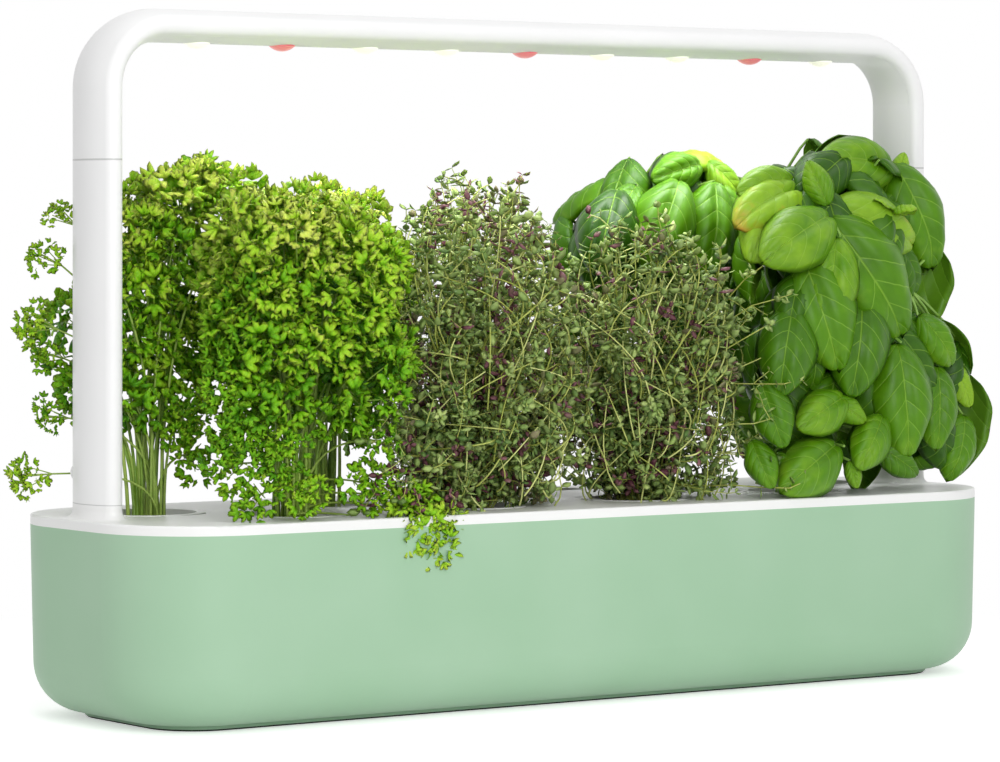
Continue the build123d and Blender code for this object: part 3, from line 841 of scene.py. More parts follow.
def parsley_skeleton(herb, spacing, lowest_mm, sprigs, seed, airy):
    """Stalks that leave the cup in a bunch, divide, and end in curly leaves all over the solid."""
    rng = random.Random(seed)
    skeleton = Skeleton()
    solid = Solid(herb)
    cup = cup_centre(herb)
    low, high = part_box(herb)
    forks = []
    for place, normal in solid.even_places(STALK_SPACING * spacing, seed, lowest_mm * MM):
        fork = place - normal * FORK_DEPTH_MM * MM - Vector((0, 0, FORK_DROP_MM * MM))
        foot = foot_towards(cup, fork, 0.6, STALK_RING_MM, rng)
        sway = Vector((rng.uniform(-5, 5), rng.uniform(-5, 5), 0)) * MM
        tone = rng.uniform(0.3, 0.8)
        skeleton.stem(bow(foot, fork, rng.uniform(0.5, 0.8), 9, sway), *STALK_RADII, tone)
        forks.append(fork)
    for layer, (gap, depth, tint, count) in enumerate(PARSLEY_LAYERS):
        start = (lowest_mm + 5 * layer) * MM
        for place, normal in solid.even_places(gap * spacing, seed + 7 + layer, start):
            if place.dot(PHOTO_LEFT) > LOOSE_FROM_MM * MM and rng.random() < airy:
                continue
            if place.z < (lowest_mm + THIN_BELOW_MM) * MM and rng.random() < THIN_SHARE:
                continue
            centre = place - normal * (depth + rng.gauss(0, DEPTH_SCATTER_MM)) * MM
            centre.z -= CROWN_DRAW_MM * MM * max(0, normal.z)
            fork = min(forks, key=lambda point: (point - centre).length)
            middle = fork.lerp(centre, 0.5) - Vector((0, 0, 4 * MM))
            skeleton.stem([fork, middle, centre], *BRANCH_RADII, 0.6)
            # Painted light and shade: curly leaves that face up and stand high are tinted brighter, low
            # ones darker
            rise = (place.z - low.z) / (high.z - low.z)
            shade = tint + 0.22 * normal.z + 0.45 * (rise - 0.5) + 0.1 * rng.gauss(0, 1)
            out = normal + Vector((0, 0, 0.4))
            radius = rng.uniform(*CUSHION_MM) * MM
            parsley_cushion(skeleton, centre, out, rng, radius, shade, count)
    for end, out, reach, tint in sprigs:
        parsley_sprig(skeleton, cup, Vector(end) * MM, Vector(out).normalized(), reach * MM, tint, rng)
    return skeleton


def parsley_sprig(skeleton, cup, end, out, reach, tint, rng):
    """One loose stalk that ends in four curly leaves."""
    foot = around_cup(cup, 9, rng)
    stalk = bow(foot, end, 0.75, 10, Vector((0, 0, 14 * MM)))
    skeleton.stem(stalk, *SPRIG_RADII, 0.7)
    for index in range(SPRIG_LEAVES):
        turn = index * math.tau / SPRIG_LEAVES + rng.uniform(-0.4, 0.4)
        shift = side_at(out, turn) * reach * rng.uniform(0.5, 0.85)
        centre = end + shift - out * rng.uniform(0, 4) * MM
        skeleton.stem([stalk[-2], centre], *SPRIG_BRANCH_RADII, 0.7)
        shade = tint + rng.uniform(-0.08, 0.08)
        parsley_cushion(skeleton, centre, out + shift * 0.4 / reach, rng, 0.62 * reach, shade, 10)


# Half width of a thyme leaf, as a share of its length
THYME_HALF_WIDTH = 0.3
# Points of a thyme stem, and the first of them that has leaves
THYME_POINTS = 13
THYME_FIRST_LEAVES = 4
# Radii of a thyme stem and of a bare arching one at their foot and end, and of side and top shoots
THYME_RADII = (0.62 * MM, 0.4 * MM)
THYME_ARCH_RADII = (0.55 * MM, 0.36 * MM)
THYME_SHOOT_RADIUS = 0.34 * MM
THYME_TOP_RADIUS = 0.45 * MM
# Lengths of the leaves on main stems, side shoots, arching stems and top shoots
THYME_LEAF_MM = 7.2
SHOOT_LEAF_MM = 7
ARCH_LEAF_MM = 7.5
TOP_LEAF_MM = 10
# Lengths of side shoots and of shoots that stand out of the top, and their distance between leaves
SIDE_SHOOT_MM = (11, 22)
TOP_SHOOT_MM = (12, 36)
SIDE_STEP_MM = 4.6
TOP_STEP_MM = 6.5
# Half length of an arching stem, how far it stands off, and the ring in which stems come up
ARCH_HALF_MM = (12, 34)
ARCH_RISE_MM = (14, 30)
THYME_RING_MM = (1, 13)
# Points of an arching stem that have leaves
THYME_ARCH_LEAVES = (3, 5, 6, 7)
# Share of purple shoots among those that stand out of the top
CROWN_PURPLE = 0.35


def leaf_pair(skeleton, place, heading, turn, size, tint, rng):
    """Two small leaves on opposite sides of a stem."""
    sideways = side_at(heading, turn)
    for end in (1, -1):
        way = sideways * end + heading * rng.uniform(0.2, 0.9)
        up = heading + Vector((0, 0, 0.3)) + random_way(rng) * 0.3
        grown = size * rng.uniform(0.75, 1.2)
        root = place + blade_shift(place, way, up, grown, THYME_HALF_WIDTH)
        kind = rng.randrange(len(THYME_BENDS))
        skeleton.leaf(root, way, up, grown, kind, tint + rng.uniform(-0.12, 0.12))


def leafy_shoot(skeleton, start, way, length, size, tint, rng, radius, step_mm=SIDE_STEP_MM):
    """A short side shoot with a pair of leaves at each step, each pair turned across the last."""
    places = [start]
    steps = max(2, round(length / (step_mm * MM)))
    turn = rng.uniform(0, math.pi)
    for step in range(steps):
        way = (way + random_way(rng) * 0.22 + Vector((0, 0, 0.06))).normalized()
        places.append(places[-1] + way * length / steps)
        turn += math.pi / 2
        grown = size * (1.1 - 0.45 * (step + 1) / steps)
        leaf_pair(skeleton, places[-1], way, turn, grown, tint + 0.12 * step / steps, rng)
    skeleton.stem(places, radius, radius * 0.6, 0.65)


def thyme_tint(rng, purple):
    """Tint of one shoot: purple in a share of them, otherwise some green."""
    return rng.uniform(0.02, 0.2) if rng.random() < purple else rng.uniform(0.36, 0.8)


def thyme_branch(skeleton, foot, place, normal, purple, rng):
    """A wiry stem to a place on the solid, with leaf pairs and side shoots on its outer part."""
    end = place + normal * rng.uniform(-7, 5) * MM
    sway = Vector((rng.uniform(-18, 18), rng.uniform(-18, 18), rng.uniform(4, 20))) * MM
    line = bow(foot, end, rng.uniform(0.4, 0.8), THYME_POINTS, sway)
    points = [p + random_way(rng) * 1.4 * MM for p in line]
    skeleton.stem(points, *THYME_RADII, rng.uniform(0.35, 0.8))
    tint = thyme_tint(rng, purple)
    for index in range(THYME_FIRST_LEAVES, THYME_POINTS):
        heading = (points[index] - points[index - 1]).normalized()
        # Painted shade: leaves nearer the stem's foot, deeper in the plant, are tinted darker; side shoots
        # take half of it
        deep = 0.2 * (1 - index / (THYME_POINTS - 1))
        turn = index * math.pi / 2
        leaf_pair(skeleton, points[index], heading, turn, THYME_LEAF_MM * MM, tint - deep, rng)
        if index > THYME_FIRST_LEAVES and rng.random() < 0.8:
            way = (normal * 0.7 + random_way(rng) + Vector((0, 0, 0.3))).normalized()
            length = rng.uniform(*SIDE_SHOOT_MM) * MM
            shade = thyme_tint(rng, purple) - deep / 2
            size = SHOOT_LEAF_MM * MM
            leafy_shoot(skeleton, points[index], way, length, size, shade, rng, THYME_SHOOT_RADIUS)


def thyme_skeleton(herb, spacing, seed, purple, shoots):
    """Wiry stems from the cup to all over the solid's surface; some pale ones arch bare across the
    outside, and a few shoots stand out of the top."""
    rng = random.Random(seed)
    skeleton = Skeleton()
    solid = Solid(herb)
    cup = cup_centre(herb)
    low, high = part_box(herb)
    for place, normal in solid.even_places(spacing, seed, low.z + 13 * MM):
        foot = foot_towards(cup, place, 0.9, THYME_RING_MM, rng)
        thyme_branch(skeleton, foot, place, normal, purple, rng)
    for end in shoots:
        end = Vector(end) * MM
        out = Vector((math.copysign(0.5, end.x - cup.x), -0.8, 0.2)).normalized()
        foot = around_cup(cup, 10, rng)
        thyme_branch(skeleton, foot, end, out, purple, rng)
    for place, normal in solid.even_places(0.8 * spacing, seed + 3, low.z + 14 * MM):
        side, other = sides_of(normal)
        lean = rng.gauss(0, 0.8)
        run = (Vector((0, 0, 1)) * math.cos(lean) + side * math.sin(lean)).normalized()
        half = rng.uniform(*ARCH_HALF_MM) * MM
        start = place - run * half - normal * 13 * MM
        end = place + run * half - normal * 9 * MM
        arch = normal * rng.uniform(*ARCH_RISE_MM) * MM + side * rng.uniform(-9, 9) * MM
        points = bow(start, end, 0.5, 8, arch)
        skeleton.stem(points, *THYME_ARCH_RADII, rng.uniform(0.5, 1.0))
        for index in THYME_ARCH_LEAVES:
            heading = (points[index] - points[index - 1]).normalized()
            tint = thyme_tint(rng, purple)
            turn = rng.uniform(0, 3)
            leaf_pair(skeleton, points[index], heading, turn, ARCH_LEAF_MM * MM, tint, rng)
        if normal.z > 0.35 and rng.random() < 0.75:
            way = Vector((rng.uniform(-0.45, 0.45), rng.uniform(-0.45, 0.45), 1)).normalized()
            tint = thyme_tint(rng, CROWN_PURPLE)
            length = rng.uniform(*TOP_SHOOT_MM) * MM
            start = place - way * 4 * MM
            size = TOP_LEAF_MM * MM
            leafy_shoot(skeleton, start, way, length, size, tint, rng, THYME_TOP_RADIUS, TOP_STEP_MM)
    return skeleton


# Half width of a basil leaf, as a share of the straight line from its base to its tip
BASIL_HALF_WIDTH = 0.32
# Depth of the leaves under the surface, and of those behind the listed ones
BASIL_DEPTH_MM = 8
BASIL_HIDDEN_MM = 19
# Tint of upward-facing leaves painted as lit by the red grow light: pale green that turns orange in patches
RED_LIT_TINT = 0.85
BASIL_RADII = (2.2 * MM, 1.5 * MM)
PETIOLE_RADII = (1.1 * MM, 0.8 * MM)
# Young leaves at a stem's tip, and their lengths
BUD_LEAVES = 5
BUD_LEAF_MM = (13, 22)
# Distance between stems, as a share of the distance between leaves
BASIL_STEM_SPACING = 2.2


def hung_leaf(skeleton, base, tip, face, kind, tint):
    """A basil leaf from its base to its tip, with its upper side bulging towards a direction."""
    half = BASIL_BENDS[kind] / 2
    chord = tip - base
    along = chord.normalized()
    face = (face - along * face.dot(along)).normalized()
    middle = (base + tip) / 2
    crown = middle + face * chord.length * (0.07 + math.tan(half / 2) / 2)
    wide = along.cross(face) * BASIL_HALF_WIDTH * chord.length
    base = base + shift_inside(base, crown, tip, middle + wide, middle - wide)
    direction = along * math.cos(half) + face * math.sin(half)
    up = face * math.cos(half) - along * math.sin(half)
    skeleton.leaf(base, direction, up, chord.length * half / math.sin(half), kind, tint)


def basil_skeleton(herb, spacing, leaf_mm, chosen, seed, warm, bright):
    """Stems with leaves that hang over the whole surface like shingles; on the photographed side the
    outer leaves are listed one by one."""
    rng = random.Random(seed)
    skeleton = Skeleton()
    solid = Solid(herb)
    cup = cup_centre(herb)
    low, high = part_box(herb)
    middle = (low + high) / 2
    stems = []
    for place, normal in solid.even_places(BASIL_STEM_SPACING * spacing, seed, middle.z):
        end = place.lerp(Vector((middle.x, middle.y, place.z)), 0.45) - Vector((0, 0, 14 * MM))
        foot = around_cup(cup, 9, rng)
        points = bow(foot, end, 0.6, 10)
        skeleton.stem(points, *BASIL_RADII)
        stems.extend(points[2:])

    def petiole(base):
        """Leaf stalk from the nearest stem to a leaf's base."""
        root = min(stems, key=lambda point: (point - base + Vector((0, 0, 8 * MM))).length)
        knee = root.lerp(base, 0.6) + Vector((0, 0, 5 * MM))
        skeleton.stem([root, root.lerp(knee, 0.6), knee.lerp(base, 0.5), base], *PETIOLE_RADII)

    for base, tip, kind, tint in chosen:
        base, tip = Vector(base) * MM, Vector(tip) * MM
        centre = (base + tip) / 2
        across = (centre.x - middle.x) / (high.x - middle.x)
        deep = (centre.y - middle.y) / (high.y - middle.y)
        face = Vector((across, deep, 0)) * 0.6 + PHOTO_SIDE + Vector((0, 0, 0.25))
        hung_leaf(skeleton, base, tip, face, kind, tint + bright)
        petiole(base)
    for place, normal in solid.even_places(spacing, seed + 1, low.z + 14 * MM):
        hidden = chosen and normal.dot(PHOTO_SIDE) > 0
        depth = BASIL_HIDDEN_MM if hidden else BASIL_DEPTH_MM
        spot = place - normal * (depth + rng.uniform(-3, 3)) * MM
        outward = Vector((spot.x - middle.x, spot.y - middle.y, 0))
        hang = Vector((0, 0, -1)) + outward.normalized() * max(0, normal.z) * 2.2
        hang = hang - normal * hang.dot(normal)
        side = hang.cross(normal).normalized()
        hang = (hang.normalized() + side * rng.uniform(-0.7, 0.7)).normalized()
        length = leaf_mm * MM * rng.uniform(0.7, 1.1) * (0.75 if spot.z < low.z + 40 * MM else 1)
        base = spot - hang * length * 0.5
        tip = spot + hang * length * 0.5
        # Painted shade: the leaves behind the listed ones, deeper in the plant, get darker tints
        tint = bright + (rng.uniform(0.28, 0.5) if hidden else rng.uniform(0.4, 0.72))
        # Painted light: some outer leaves that face up take the pale, orange-patched tint of the red grow
        # light
        if not hidden and normal.z > 0.3 and rng.random() < warm:
            tint = RED_LIT_TINT
        facing = normal + random_way(rng) * 0.25
        hung_leaf(skeleton, base, tip, facing, rng.randrange(len(BASIL_BENDS)), tint)
        petiole(base)
        if normal.z > 0.5 and rng.random() < 0.5:
            for bud in range(BUD_LEAVES):
                spin = bud * GOLDEN_ANGLE
                way = Vector((math.cos(spin), math.sin(spin), 0.9))
                size = rng.uniform(*BUD_LEAF_MM) * MM
                kind = rng.randrange(len(BASIL_BENDS))
                skeleton.leaf(place - normal * 3 * MM, way, Vector((0, 0, 1)), size, kind, 0.8)
    return skeleton


# Sizes and colours that a user would change


class PlanterColours(bpy.types.PropertyGroup):
    tub: bpy.props.FloatVectorProperty(
        name="Tub",
        description="Colour of the moulded tub",
        default=(0.655, 0.79, 0.67),
        size=3,
        min=0,
        max=1,
        subtype="COLOR_GAMMA",
    )


def length_of(name, description, default_mm, least_mm, most_mm):
    """A length that a user would change."""
    return bpy.props.FloatProperty(
        name=name,
        description=description,
        default=default_mm * MM,
        min=least_mm * MM,
        max=most_mm * MM,
        unit="LENGTH",
    )


class PlanterSizes(bpy.types.PropertyGroup):
    parsley_spacing: length_of("Parsley spacing", "Distance between two curly leaves", 17, 12, 50)
    thyme_spacing: length_of("Thyme spacing", "Distance between the ends of two stems", 20, 15, 60)
    basil_spacing: length_of("Basil spacing", "Distance between the middles of two leaves", 33, 20, 80)
    basil_leaf: length_of("Basil leaf", "Length of a full-grown leaf", 62, 20, 90)


class PLANTER_OT_bodies(bpy.types.Operator):
    """Gives the moulded pieces, lenses, board, chips, contacts and screws their materials"""

    bl_idname = "planter.bodies"
    bl_label = "Moulded pieces"

    def execute(self, context):
        white = white_plastic()
        seams = (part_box("lid")[1].z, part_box("arm_left")[1].z)
        # The lamp's white is a touch paler than the lid's as painted light, and its seams are painted
        # shadow lines
        lamp = white_plastic("White ABS, satin moulded lamp", "#f8f8f8", "#f4f4f4", seams)
        contacts = plated_contact()
        warm = lit_lens("Frosted acrylic, lit warm white", "#eeeee4", "#fbfbf0", "#fff9e4", strength=0.5)
        red = lit_lens("Frosted acrylic, lit red", "#d96a72", "#eb8f92", "#f08a92", strength=0.35)
        finishes = {
            "tub": tub_plastic(),
            "foot_ring": rubber(),
            "lid": white,
            "level_float": white,
            "arm_left": lamp,
            "arm_right": lamp,
            "lamp_shell": lamp,
            "lamp_cover": lamp,
            "power_inlet": lamp,
            "arm_contacts": contacts,
            "lamp_contacts": contacts,
            "led_board": board_mask(),
            "led_chips": light_chip(),
            "board_screws": zinc_screw(),
            "lenses_white": warm,
            "lenses_red": red,
        }
        finishes.update({node: white for node in frame["nodes"] if node.startswith("cup_")})
        for node, material in finishes.items():
            slots = frame["nodes"][node].data.materials
            slots.clear()
            slots.append(material)
        return {"FINISHED"}


class PLANTER_OT_soil(bpy.types.Operator):
    """Makes the soil plugs with a crumbly top and the felt wicks under them"""

    bl_idname = "planter.soil"
    bl_label = "Soil and wicks"

    def execute(self, context):
        soil = growing_soil()
        cloth = felt()
        for body, members in frame["record"]["behaviour"]["bodies"].items():
            for member in members:
                if member.startswith("soil_"):
                    stand_in_for(soil_plug(member, soil), member, body)
                if member.startswith("wick_"):
                    stand_in_for(wick_strip(member, cloth), member, body)
        return {"FINISHED"}


def walls(rings, sides):
    """Faces between rings of points that follow one another."""
    faces = []
    for ring in range(rings - 1):
        for index in range(sides):
            a = ring * sides + index
            b = ring * sides + (index + 1) % sides
            faces.append((a, b, b + sides, a + sides))
    return faces


PLUG_SIDES = 48
# Radius of a plug's foot, as a share of its top's, and the rings of its rough top
PLUG_FOOT_SHARE = 0.76
PLUG_TOP_SHARES = (0.85, 0.68, 0.5, 0.32, 0.15)
# How far the crumbs of the top lie under and over it
PLUG_ROUGHNESS_MM = (-1.6, 1.2)


def soil_plug(node, material):
    """Closed plug with a rough top, whose sides keep to its solid."""
    low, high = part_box(node)
    rng = random.Random(node)
    middle = (low + high) / 2
    top_radius = (high.x - low.x) / 2
    foot_radius = top_radius * PLUG_FOOT_SHARE
    verts = []
    rings = [(foot_radius, 0, False), ((top_radius + foot_radius) / 2, 0.5, False), (top_radius, 1, False)]
    rings += [(top_radius * share, 1, True) for share in PLUG_TOP_SHARES]
    for radius, share, rough in rings:
        for index in range(PLUG_SIDES):
            angle = math.tau * index / PLUG_SIDES
            x, y = radius * math.cos(angle), radius * math.sin(angle)
            z = low.z + (high.z - low.z) * share
            if rough:
                z = high.z + rng.uniform(*PLUG_ROUGHNESS_MM) * MM
            verts.append((middle.x + x, middle.y + y, z))
    faces = walls(len(rings), PLUG_SIDES)
    verts.append((middle.x, middle.y, low.z))
    verts.append((middle.x, middle.y, high.z))
    top = (len(rings) - 1) * PLUG_SIDES
    for index in range(PLUG_SIDES):
        following = (index + 1) % PLUG_SIDES
        faces.append((following, index, len(verts) - 2))
        faces.append((top + index, top + following, len(verts) - 1))
    return mesh_piece(node + "_plug", verts, faces, material)


WICK_STEPS = 24
WICK_SIDES = 12
# How far a wick waves to each side at its foot
WICK_SWAY = 1.2 * MM


def wick_strip(node, material):
    """Felt strip with soft edges and a slight wave, closed all round."""
    low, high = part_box(node)
    phase = random.Random(node).uniform(0, math.tau)
    middle = (low + high) / 2
    half_x = (high.x - low.x) / 2
    half_y = (high.y - low.y) / 2
    verts = []
    for step in range(WICK_STEPS + 1):
        share = step / WICK_STEPS
        sway = WICK_SWAY * math.sin(share * 6 + phase) * (1 - share)
        for index in range(WICK_SIDES):
            angle = math.tau * index / WICK_SIDES
            x = half_x * math.copysign(abs(math.cos(angle)) ** 0.4, math.cos(angle))
            y = half_y * math.copysign(abs(math.sin(angle)) ** 0.6, math.sin(angle))
            verts.append((middle.x + x, middle.y + y + sway, low.z + (high.z - low.z) * share))
    faces = walls(WICK_STEPS + 1, WICK_SIDES)
    faces.append(tuple(range(WICK_SIDES))[::-1])
    faces.append(tuple(WICK_STEPS * WICK_SIDES + index for index in range(WICK_SIDES)))
    return mesh_piece(node + "_strip", verts, faces, material)


def mesh_piece(name, verts, faces, material):
    """Object at the origin from points and faces, smooth, facing outwards."""
    mesh = bpy.data.meshes.new(name)
    mesh.from_pydata(verts, [], faces)
    weld(mesh)
    mesh.shade_smooth()
    mesh.materials.append(material)
    piece = bpy.data.objects.new(name, mesh)
    bpy.context.scene.collection.objects.link(piece)
    return piece


# Leaflets of parsley: how far they spread, how deep and where they are ruffled, how much they curl
LEAFLET_FORMS = [
    (1.2, 0.16, 0.0, 0.3),
    (1.05, 0.2, 1.6, 0.1),
    (1.3, 0.14, 0.8, 0.45),
    (0.95, 0.2, 2.6, -0.15),
]

# Parsley sprigs that leave the solids: end in mm, the way they face, size in mm and tint
PARSLEY_1_SPRIGS = [
    ((-303, 47, 262), (-0.8, -0.2, 0.4), 9, 0.55),
    ((-295, 44, 286), (-0.5, -0.2, 0.8), 8, 0.62),
    ((-309, 49, 224), (-1, -0.3, 0.2), 10, 0.6),
    ((-300, 52, 206), (-0.8, -0.3, -0.2), 9, 0.5),
    ((-299, 50, 170), (-0.8, -0.3, -0.2), 8, 0.45),
    ((-313, 48, 137), (-1, -0.4, 0), 9, 0.6),
    ((-196, 46, 306), (-0.4, -0.6, 0.7), 13, 0.7),
    ((-182, 48, 298), (-0.2, -0.7, 0.7), 12, 0.66),
    ((-168, 40, 286), (-0.1, -0.7, 0.7), 12, 0.66),
    ((-232, 8, 168), (-0.5, -0.8, 0.3), 12, 0.5),
    ((-222, 6, 148), (-0.5, -0.8, 0.3), 12, 0.5),
]
PARSLEY_2_SPRIGS = [
    ((-243, -52, 190), (-0.7, -0.7, 0.2), 12, 0.45),
    ((-240, -60, 165), (-0.7, -0.7, 0.2), 12, 0.42),
    ((-246, -66, 146), (-0.6, -0.8, 0.1), 12, 0.42),
    ((-238, -74, 128), (-0.5, -0.8, 0.3), 12, 0.52),
    ((-222, -80, 152), (-0.5, -0.8, 0.2), 11, 0.45),
    ((-212, -84, 130), (-0.4, -0.9, 0.3), 11, 0.52),
    ((-168, -84, 134), (-0.2, -0.9, 0.4), 12, 0.52),
    ((-158, -80, 158), (-0.2, -0.9, 0.3), 11, 0.42),
    ((-146, -84, 124), (-0.3, -0.9, 0.2), 11, 0.6),
    ((-136, -88, 117), (0.1, -0.9, 0.3), 15, 0.62),
    ((-124, -90, 108), (0.1, -1, -0.1), 15, 0.66),
    ((-136, -92, 98), (-0.1, -1, -0.3), 15, 0.7),
]
PARSLEY_3_SPRIGS = [
    ((-132, 12, 294), (-0.3, -0.4, 0.8), 12, 0.75),
    ((-115, 12, 287), (0.1, -0.4, 0.8), 11, 0.75),
]


class PLANTER_OT_parsley(bpy.types.Operator):
    """Grows the three curly parsley plants"""

    bl_idname = "planter.parsley"
    bl_label = "Parsley"

    def execute(self, context):
        blades = [parsley_blade(*form) for form in LEAFLET_FORMS]
        shapes = leaf_shapes("parsley_leaflet", blades, columns=12, rows=2, thickness=0.05)
        leaf = leaf_skin(
            "Parsley leaf, curled",
            tints=[
                (0.0, "#285a04"), (0.25, "#559a08"), (0.5, "#84c614"),
                (0.75, "#b0de30"), (1.0, "#dcf062"),
            ],
            vein="#acd83c",
            veins=5,
            vein_share=0.3,
            rough=0.45,
            puff_mm=0.3,
            underside="#80b428",
            grain_mm=2.5,
            grain=0.4,
            edge=0.3,
            soft=0.25,
        )
        tones = [(0.1, "#54781c"), (0.5, "#88ad3c"), (0.9, "#b6cd66")]
        stem = stem_skin("Parsley stalk", tones, ridge_mm=4)
        spacing = context.scene.planter_sizes.parsley_spacing
        plans = {
            "parsley_1": (162, PARSLEY_1_SPRIGS, 11, 0.86),
            "parsley_2": (158, PARSLEY_2_SPRIGS, 22, 0),
            "parsley_3": (158, PARSLEY_3_SPRIGS, 33, 0),
        }
        for herb, (lowest_mm, sprigs, seed, airy) in plans.items():
            skeleton = parsley_skeleton(herb, spacing, lowest_mm, sprigs, seed, airy)
            finish_herb(herb, skeleton, shapes, stem, leaf, stem_sides=6)
        return {"FINISHED"}


def finish_herb(herb, skeleton, shapes, stem, leaf, stem_sides):
    """Runs the foliage tree on a herb's skeleton, and puts the result in the place of its solid."""
    tree = bpy.data.node_groups.get("Foliage") or foliage_tree()
    values = {
        "Leaf Shapes": shapes,
        "Leaf Scale": 1.0,
        "Stem Sides": stem_sides,
        "Stem Material": stem,
        "Leaf Material": leaf,
    }
    stand_in_for(grow(herb + "_foliage", skeleton, tree, values), herb, HERB_CUPS[herb][0])


# How far each thyme leaf shape bends down along its length, in radians
THYME_BENDS = (0.4, 0.9, -0.5)

# Ends in mm of thyme shoots that lie across the plant on their left or right
THYME_1_SHOOTS = [
    (-174, -84, 118),
    (-166, -88, 138),
    (-170, -84, 158),
    (-152, -90, 126),
    (-146, -90, 150),
    (-156, -86, 174),
    (-134, -90, 168),
    (-128, -92, 142),
    (-138, -92, 114),
    (-116, -90, 186),
    (-112, -92, 160),
    (-114, -92, 122),
]
THYME_3_SHOOTS = [
    (121, -84, 256),
    (127, -88, 236),
    (113, -90, 218),
    (130, -90, 204),
    (120, -92, 184),
    (112, -92, 162),
    (122, -92, 142),
    (128, -92, 122),
]


class PLANTER_OT_thyme(bpy.types.Operator):
    """Grows the three thyme plants"""

    bl_idname = "planter.thyme"
    bl_label = "Thyme"

    def execute(self, context):
        blades = [thyme_blade(bend) for bend in THYME_BENDS]
        shapes = leaf_shapes("thyme_leaf", blades, columns=2, rows=3, thickness=0.06)
        leaf = leaf_skin(
            "Thyme leaf, waxy",
            tints=[
                (0.0, "#522433"), (0.18, "#8c5c66"), (0.3, "#4c6c32"),
                (0.6, "#90ab5c"), (1.0, "#c4d484"),
            ],
            vein="#a4b460",
            veins=3,
            vein_share=0.3,
            rough=0.5,
            puff_mm=0.1,
            underside="#93a466",
            grain_mm=5,
            grain=0.2,
            edge=0.1,
            soft=0.1,
        )
        tones = [(0.2, "#7a7a38"), (0.6, "#a9b44c"), (1.0, "#e0e694")]
        stem = stem_skin("Thyme stem, wiry", tones, ridge_mm=6)
        spacing = context.scene.planter_sizes.thyme_spacing
        plans = {
            "thyme_1": (41, 0.2, THYME_1_SHOOTS),
            "thyme_2": (52, 0.22, []),
            "thyme_3": (63, 0.15, THYME_3_SHOOTS),
        }
        for herb, (seed, purple, shoots) in plans.items():
            skeleton = thyme_skeleton(herb, spacing, seed, purple, shoots)
            finish_herb(herb, skeleton, shapes, stem, leaf, stem_sides=4)
        return {"FINISHED"}


# Basil leaf shapes: how much the halves roll down, where the edge waves, and half the width
BASIL_FORMS = [
    (0.5, 0.0, 0.37),
    (0.6, 1.3, 0.38),
    (0.45, 2.1, 0.36),
    (0.55, 0.7, 0.36),
    (0.65, 3.0, 0.39),
]

# Basil leaves of the photographed side: base and tip in mm, leaf shape and tint
BASIL_1_LEAVES = [
    ((86, 22, 300), (58, 6, 246), 1, 0.3),
    ((102, 24, 303), (70, 14, 268), 0, 0.6),
    ((124, 10, 306), (90, 0, 250), 1, 0.62),
    ((152, 10, 306), (136, 0, 244), 4, 0.62),
    ((150, 22, 316), (108, 18, 306), 3, 0.62),
    ((157, 24, 318), (176, 14, 292), 1, 0.8),
    ((160, 12, 304), (164, 4, 256), 0, 0.72),
    ((133, 16, 290), (114, 8, 246), 0, 0.4),
]
BASIL_2_LEAVES = [
    ((177, -72, 284), (228, -82, 210), 1, 0.62),
    ((173, -86, 272), (160, -92, 215), 0, 0.72),
    ((154, -80, 260), (172, -92, 190), 1, 0.62),
    ((197, -84, 240), (181, -92, 173), 4, 0.5),
    ((181, -66, 289), (247, -66, 266), 3, 0.8),
    ((176, -72, 283), (114, -82, 255), 3, 0.72),
    ((249, -45, 313), (188, -45, 318), 1, 0.7),
    ((249, -45, 317), (273, -55, 251), 1, 0.6),
    ((249, -50, 306), (259, -46, 324), 2, 0.78),
    ((175, -72, 290), (167, -62, 318), 0, 0.72),
    ((173, -46, 298), (115, -56, 276), 1, 0.84),
    ((153, -55, 296), (119, -66, 255), 0, 0.82),
    ((174, -42, 304), (126, -44, 297), 1, 0.74),
    ((143, -80, 231), (124, -90, 175), 4, 0.5),
    ((118, -78, 185), (126, -90, 145), 1, 0.55),
    ((223, -84, 207), (225, -92, 136), 0, 0.6),
    ((247, -72, 223), (272, -74, 191), 1, 0.66),
    ((262, -72, 192), (256, -78, 139), 0, 0.6),
    ((287, -58, 194), (301, -60, 164), 2, 0.8),
    ((298, -56, 160), (277, -64, 119), 1, 0.62),
    ((180, -84, 174), (136, -92, 156), 3, 0.7),
    ((170, -80, 174), (191, -88, 159), 1, 0.68),
    ((176, -86, 145), (125, -94, 118), 1, 0.66),
    ((209, -84, 163), (182, -92, 130), 4, 0.66),
    ((182, -84, 136), (183, -90, 119), 0, 0.72),
    ((210, -78, 143), (236, -84, 125), 3, 0.55),
    ((112, -76, 150), (119, -88, 121), 1, 0.62),
    ((131, -74, 142), (142, -84, 122), 0, 0.58),
    ((231, -66, 245), (206, -78, 206), 1, 0.4),
    ((156, -70, 252), (137, -80, 213), 1, 0.42),
    ((264, -64, 221), (245, -70, 195), 0, 0.5),
]


